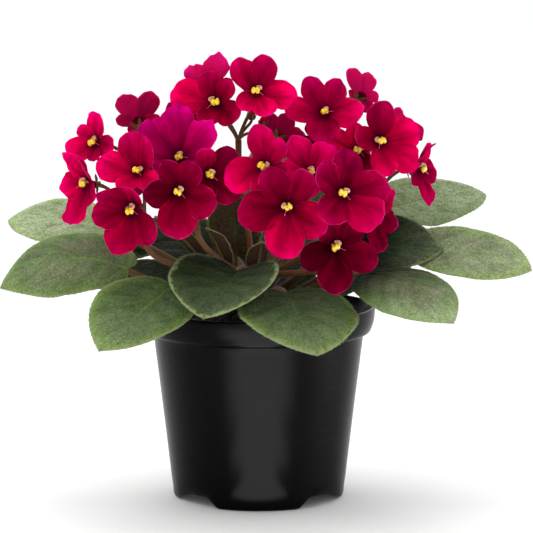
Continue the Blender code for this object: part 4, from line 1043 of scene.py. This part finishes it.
def petal_grid(petal, gaps, cup, wave, kind, draw, breadth, frill):
    """One petal's middle surface, and its marks. gaps are the angles to the petals beside it."""
    direction, length, *folded = petal
    rows, columns = PETAL_GRID
    which = petal_side(direction)
    upper = which == "upper"
    t = np.linspace(0, 1, rows)[:, None]
    w = np.linspace(1, -1, columns)[None, :]
    half = np.where(w < 0, *gaps) / 2
    lean = w * np.radians(half + PETAL_OVERLAP)
    ripple = draw.uniform(0, 2 * math.pi, RIPPLES)
    breadth = breadth or (UPPER_PETAL_BREADTH if upper else PETAL_BREADTH) * draw.uniform(0.93, 1.0)
    edge = petal_outline(length, lean, breadth, draw.uniform(0.0, 0.16))
    inner = 1 - w**4
    bends = 0.03 * np.sin(2.6 * w + ripple[3]) + 0.014 * np.sin(6.5 * w + ripple[0])
    edge = edge * (1 + inner * bends)
    edge = edge * (1 + 0.006 * frill * np.sin(17 * w + ripple[1])) * (1 - 0.12 * np.abs(w) ** 6)
    radius = THROAT_RADIUS + (edge - THROAT_RADIUS) * t**0.9
    share = radius / length
    across = lean / np.radians(half)
    inside = 1 - np.clip(across, -1, 1) ** 2
    rise = cup * share**1.5 * (1.5 if upper else 0.75) + 0.07 * share * inside
    rise = rise - 0.05 * smoothstep(0.7, 1.0, share) - 0.05
    rise = rise + wave * share**2 * np.sin(3 * across + 2 * kind)
    rise = rise * length
    rise = rise - THROAT_DEPTH * np.exp(-((radius / THROAT_SPREAD) ** 2))
    layer = PETAL_LAYERS[which] + 0.12 * kind
    rise = rise + layer * smoothstep(2.0, 9.0, radius)
    middle = 0.25 * np.sin(ripple[5])
    crease_depth, crease_width = CREASE
    crease = crease_depth * np.exp(-(((w - middle) / crease_width) ** 2))
    crease = crease * smoothstep(0.1, 0.4, t) * smoothstep(1.0, 0.55, t)
    folds = 0.5 * t**2 * np.sin(5.5 * w + ripple[4]) + 0.34 * frill * t**4 * np.sin(9 * w + ripple[2])
    folds = folds + 0.14 * frill * t**6 * np.sin(19 * w + ripple[0])
    curl = (0.75 * np.sin(2.3 * w + ripple[6]) + 0.35) * smoothstep(0.8, 1.0, t) ** 2
    rise = rise + (folds + curl - crease) * (length / PETAL_USUAL_LENGTH)
    fold = math.radians(sum(folded)) * (1 - np.clip(np.abs(w), 0, 1) ** 4)
    past = np.maximum(0.0, radius - FOLD_RADIUS)
    out = radius + past * (np.cos(fold) - 1)
    rise = rise + past * np.sin(fold)
    angle = math.radians(direction) + lean
    grid = np.stack([out * np.cos(angle), out * np.sin(angle), rise], -1)
    side = (1 - np.abs(w)) * radius * np.radians(half) + 3 * smoothstep(0.9, 0.6, share)
    margin = np.minimum(edge - radius, side)
    reach = np.clip((radius - THROAT_RADIUS) / (length * 0.92 - THROAT_RADIUS), 0, 1)
    # Painted shade along the middle crease, carried as the crease mark.
    shadow = np.exp(-(((w - middle) / 0.3) ** 2)) * smoothstep(1.0, 0.45, t)
    return grid, {"margin": margin, "reach": reach, "across": w * np.ones_like(t), "crease": shadow}


def make_bloom(number, finishes, draw):
    """One bloom: its five petals, its tube, and what stands in its throat."""
    throat, azimuth, elevation, cup, petals = BLOOMS[number]
    petal_look, stamen_look = finishes
    name = f"bloom_{number:02d}"
    if isinstance(petals, (int, float)):
        petals = [(turn, length * petals * draw.uniform(0.94, 1.04)) for turn, length in REGULAR_PETALS]
    wave = draw.uniform(0.02, 0.05)
    fine = np.random.default_rng(100 + number)
    # lights: each petal's painted light and shade.
    purple, *lights = BLOOM_LOOKS.get(number, BLOOM_LOOK)
    forms = PETAL_FORMS.get(number, (None,) * 5)
    frill = FRILLS.get(number, 1.0)
    axes = bloom_axes(azimuth, elevation)
    place = np.array(throat, float)
    shape = Shape()
    for kind, (direction, length, *_) in enumerate(petals):
        after = (petals[(kind + 1) % 5][0] - direction) % 360
        before = (direction - petals[kind - 1][0]) % 360
        grid, marks = petal_grid(petals[kind], (before, after), cup, wave, kind, fine, forms[kind], frill)
        tint = purple + (UPPER_PURPLE if petal_side(direction) == "upper" else 0.0)
        shape.shell(grid @ axes + place, PETAL_THICKNESS * (1 - 0.5 * marks["reach"]), **marks,
                    purple=min(1.0, tint), light=lights[kind], number=number * 7.0 + kind * 1.3)
    tube = [place - axes[2] * depth for depth, _ in TUBE_RINGS]
    radii = [radius for _, radius in TUBE_RINGS]
    shape.tube(tube, radii, 14, margin=5.0, reach=0.3, under=0.0, light=0.4)
    placed(shape.build(name + "_petals", petal_look), "petal", name)
    make_stamens(name, place, axes, fine, stamen_look)


def make_stamens(name, place, axes, draw, finish):
    """Two yellow anthers side by side, a pale bent filament beside them, and the thin style."""
    shape = Shape()
    spin, size = math.radians(draw.uniform(-40, 40)), draw.uniform(0.9, 1.12)
    c, s = math.cos(spin), math.sin(spin)
    own = np.array(((c, s, 0), (-s, c, 0), (0, 0, 1.0))) * size @ axes
    hand = -1 if draw.uniform() < 0.25 else 1

    def spot(x, y, z):
        """A place in the bloom's own directions, turned and mirrored as this bloom is."""
        return place + np.array((hand * x, y, z)) @ own

    for side in (-1, 1):
        centre = (side * 0.78 - 0.2, -0.35 + side * draw.uniform(-0.3, 0.3), 2.0)
        sac = np.array(((0.98, 0.2 * side, 0), (-0.2 * side, 1.35, 0.3), (0, -0.25, 0.95))) @ own
        shape.blob(spot(*centre), sac, 11, 14, kind=0.0)
        bend = bezier(spot(side * 0.5, 0.6, -0.8), spot(side * 1.5, 1.4, 0.4), spot(side * 1.6, 0.9, 1.9),
                      spot(side * 0.7, 0.2, 1.6), 9)
        shape.tube(bend, np.linspace(0.38, 0.5, 9), 8, kind=0.5)
    hook = bezier(spot(0.9, 0.3, 1.4), spot(2.3, 0.4, 2.2), spot(2.2, 2.0, 1.6), spot(0.2, 1.7, 0.4), 12)
    shape.tube(hook, np.linspace(0.55, 0.75, 12), 9, kind=0.5)
    style = bezier(spot(0.3, -0.2, -0.5), spot(1.0, -0.6, 1.8), spot(2.2, -1.6, 2.0),
                   spot(3.2, -2.6, 2.4), 10)
    shape.tube(style, np.linspace(0.2, 0.1, 10), 7, kind=1.0)
    placed(shape.build(name + "_stamens", finish), "petal")


def sepal(shape, seat, axes, turn, length, spread, green):
    """One pointed sepal of a calyx, from the bloom's seat outwards."""
    t = np.linspace(0, 1, 8)[:, None]
    w = np.linspace(-1, 1, 5)[None, :]
    width = 0.85 * np.sin(np.clip(t * 0.9 + 0.12, 0, 1) * math.pi) ** 0.7
    out = 1.1 + length * spread * t + 0 * w
    rise = -1.0 + length * (1 - spread) * t**1.4 + 0.25 * w**2 * (1 - t)
    side = w * width
    x = out * math.cos(turn) - side * math.sin(turn)
    y = out * math.sin(turn) + side * math.cos(turn)
    grid = np.stack([x, y, rise], -1) @ axes + seat
    shape.shell(grid[:, ::-1], SEPAL_THICKNESS, green=green)


def widening(radii, steps, share):
    """Radii along a stem, which swells by a share over its last steps."""
    swell = smoothstep(SWELL_START[steps], steps - 1, np.arange(steps))
    return np.linspace(*radii, steps) * (1 + share * swell)


def make_stalk(row, finishes):
    """A flower stalk with the pedicel and calyx of each bloom and bud, and its hairs."""
    name, angle, fork, carried, buds = row
    stem_look, petal_look, hair = finishes
    fork = np.array(fork, float)
    start, out = crown_point(angle, STALK_LEVEL)
    reach = float(np.linalg.norm(fork - start))
    shape, bud_shape = Shape(), Shape()
    rising = start + out * reach * 0.15 + UP * reach * 0.22
    path = bezier(start - out, rising, fork - UP * reach * 0.35, fork, STALK_STEPS)
    radii = widening(STALK_RADII, STALK_STEPS, 0.25)
    shape.tube(path, radii, 12, heading=out, green=0.25)
    routes = [(path, radii)]
    root = path[-1] - unit(path[-1] - path[-5])
    for number in carried:
        throat, azimuth, elevation, _, _ = BLOOMS[number]
        axes = bloom_axes(azimuth, elevation)
        seat = np.array(throat, float) - axes[2] * (TUBE_LENGTH + CLEARANCE)
        end = seat - axes[2] * 1.2
        far = float(np.linalg.norm(end - root))
        rising = root + unit(UP + unit(end - root)) * far * 0.3
        stem = bezier(root, rising, end - axes[2] * far * 0.3, end, PEDICEL_STEPS)
        radii = widening(PEDICEL_RADII, PEDICEL_STEPS, 0.35)
        shape.tube(stem, radii, 9, green=0.35)
        shape.blob(seat - axes[2] * 0.7, np.diag((1.7, 1.7, 1.3)) @ axes, 9, 12, green=0.5)
        for k in range(SEPALS):
            sepal(shape, seat, axes, 2 * math.pi * (k + 0.25) / SEPALS, 5.0, 0.72, 0.2)
        routes.append((stem, radii))
    for bud in buds:
        end = np.array(bud, float)
        far = float(np.linalg.norm(end - root))
        stem = bezier(root, root + UP * far * 0.4, end - UP * far * 0.2, end, BUD_STEM_STEPS)
        radii = np.linspace(*BUD_STEM_RADII, BUD_STEM_STEPS)
        shape.tube(stem, radii, 9, green=0.3)
        routes.append((stem, radii))
        for k in range(SEPALS):
            sepal(shape, end + UP * 0.9, np.eye(3), 2 * math.pi * k / SEPALS, 4.6, 0.3, 0.4)
        bud_shape.blob(end + UP * 2.1, np.diag((1.75, 1.75, 2.7)), 13, 18, margin=5.0, reach=0.55,
                       light=0.7, number=3.0)
    placed(shape.build(name + "_stems", stem_look), "stem", name)
    if buds:
        placed(bud_shape.build(name + "_buds", petal_look), "petal")
    placed(stalk_hairs(name, routes, hair), "stem")


def stalk_hairs(name, routes, finish):
    """Hairs round a flower stalk and all its branches."""
    draw = np.random.default_rng(sum(map(ord, name)) + 5)
    shape = Shape()
    for path, radii in routes:
        length = float(np.linalg.norm(np.diff(path, axis=0), axis=1).sum())
        hairs_round(shape, path, radii, int(length * HAIRS_PER_MM), STALK_HAIR, 0.35, draw)
    return shape.build(name + "_hairs", finish)


def make_lamp(name, place, target, size, power):
    """A rectangular lamp that faces a target."""
    data = bpy.data.lights.new(name, "AREA")
    data.shape, data.energy = "RECTANGLE", power
    data.size, data.size_y = size
    lamp = bpy.data.objects.new(name, data)
    lamp.location = place
    lamp.rotation_euler = (Vector(target) - Vector(place)).to_track_quat("-Z", "Y").to_euler()
    bpy.context.scene.collection.objects.link(lamp)
    return lamp


def make_floor():
    """A wide white floor just under the pot."""
    mesh = bpy.data.meshes.new("studio_floor")
    half = FLOOR_HALF_WIDTH
    corners = [(-half, -half, 0), (half, -half, 0), (half, half, 0), (-half, half, 0)]
    mesh.from_pydata(corners, [], [(0, 1, 2, 3)])
    mesh.materials.append(floor_finish())
    floor = bpy.data.objects.new("studio_floor", mesh)
    floor.location.z = -FLOOR_GAP
    bpy.context.scene.collection.objects.link(floor)


def make_sky():
    """A white background that is brighter behind the plant than before it."""
    world = bpy.data.worlds.new("studio")
    bpy.context.scene.world = world
    world.use_nodes = True
    tree = world.node_tree
    coordinates = tree.nodes.new("ShaderNodeTexCoord")
    split = tree.nodes.new("ShaderNodeSeparateXYZ")
    tree.links.new(coordinates.outputs["Generated"], split.inputs[0])
    ramp = tree.nodes.new("ShaderNodeMapRange")
    for key, value in SKY.items():
        ramp.inputs[key].default_value = value
    tree.links.new(split.outputs["Y"], ramp.inputs["Value"])
    tree.links.new(ramp.outputs[0], tree.nodes["Background"].inputs["Strength"])
    tree.nodes["Background"].inputs["Color"].default_value = (1, 1, 1, 1)


def make_lamps():
    """Soft lamps, and those that only glossy surfaces show."""
    for row in LAMPS:
        make_lamp(*row)
    make_lamp(*GLOSS_SIDE).visible_diffuse = False
    for number, (x, y, half, depth) in enumerate(GLOSS_STRIPS, 1):
        power = math.pi * GLOSS_RADIANCE * 2 * half * depth
        place = (x, y, GLOSS_HEIGHT)
        strip = make_lamp(f"gloss_front_{number}", place, PLANT_MIDDLE, (2 * half, depth), power)
        strip.rotation_euler = (math.pi, 0, 0)
        strip.visible_diffuse = strip.visible_camera = False


def make_camera():
    """The photograph's camera."""
    data = bpy.data.cameras.new("camera")
    camera = bpy.data.objects.new("camera", data)
    pitch = math.radians(CAMERA_PITCH)
    x, _, z = CAMERA_TARGET
    camera.location = (x, -CAMERA_DISTANCE * math.cos(pitch), z + CAMERA_DISTANCE * math.sin(pitch))
    camera.rotation_euler = (math.pi / 2 - pitch, 0, 0)
    data.sensor_width = SENSOR
    data.lens = SENSOR * CAMERA_DISTANCE / PICTURE_WIDTH
    data.clip_start, data.clip_end = CLIP
    bpy.context.scene.collection.objects.link(camera)
    bpy.context.scene.camera = camera


def main():
    """The pot, its soil, the plant, and the studio."""
    draw = random.Random(SEED)
    stem, hair, petal, stamen = stem_finish(), hair_finish(), petal_finish(), stamen_finish()
    blade = leaf_finish()
    make_pot(pot_finish())
    make_soil(soil_finish())
    make_crown(stem)
    for number in LEAVES:
        make_leaf(number, (stem, blade, hair), draw)
    for number in BLOOMS:
        make_bloom(number, (petal, stamen), draw)
    for row in STALKS:
        make_stalk(row, (stem, petal, hair))
    make_floor()
    make_sky()
    make_lamps()
    make_camera()
    bpy.context.scene.view_settings.view_transform = "Standard"


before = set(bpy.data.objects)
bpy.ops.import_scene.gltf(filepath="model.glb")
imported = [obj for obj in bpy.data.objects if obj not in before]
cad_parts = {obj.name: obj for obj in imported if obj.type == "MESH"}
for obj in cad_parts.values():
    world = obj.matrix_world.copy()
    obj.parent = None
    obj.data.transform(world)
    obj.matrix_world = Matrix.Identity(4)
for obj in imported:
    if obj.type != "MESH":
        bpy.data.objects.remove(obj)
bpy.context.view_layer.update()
main()
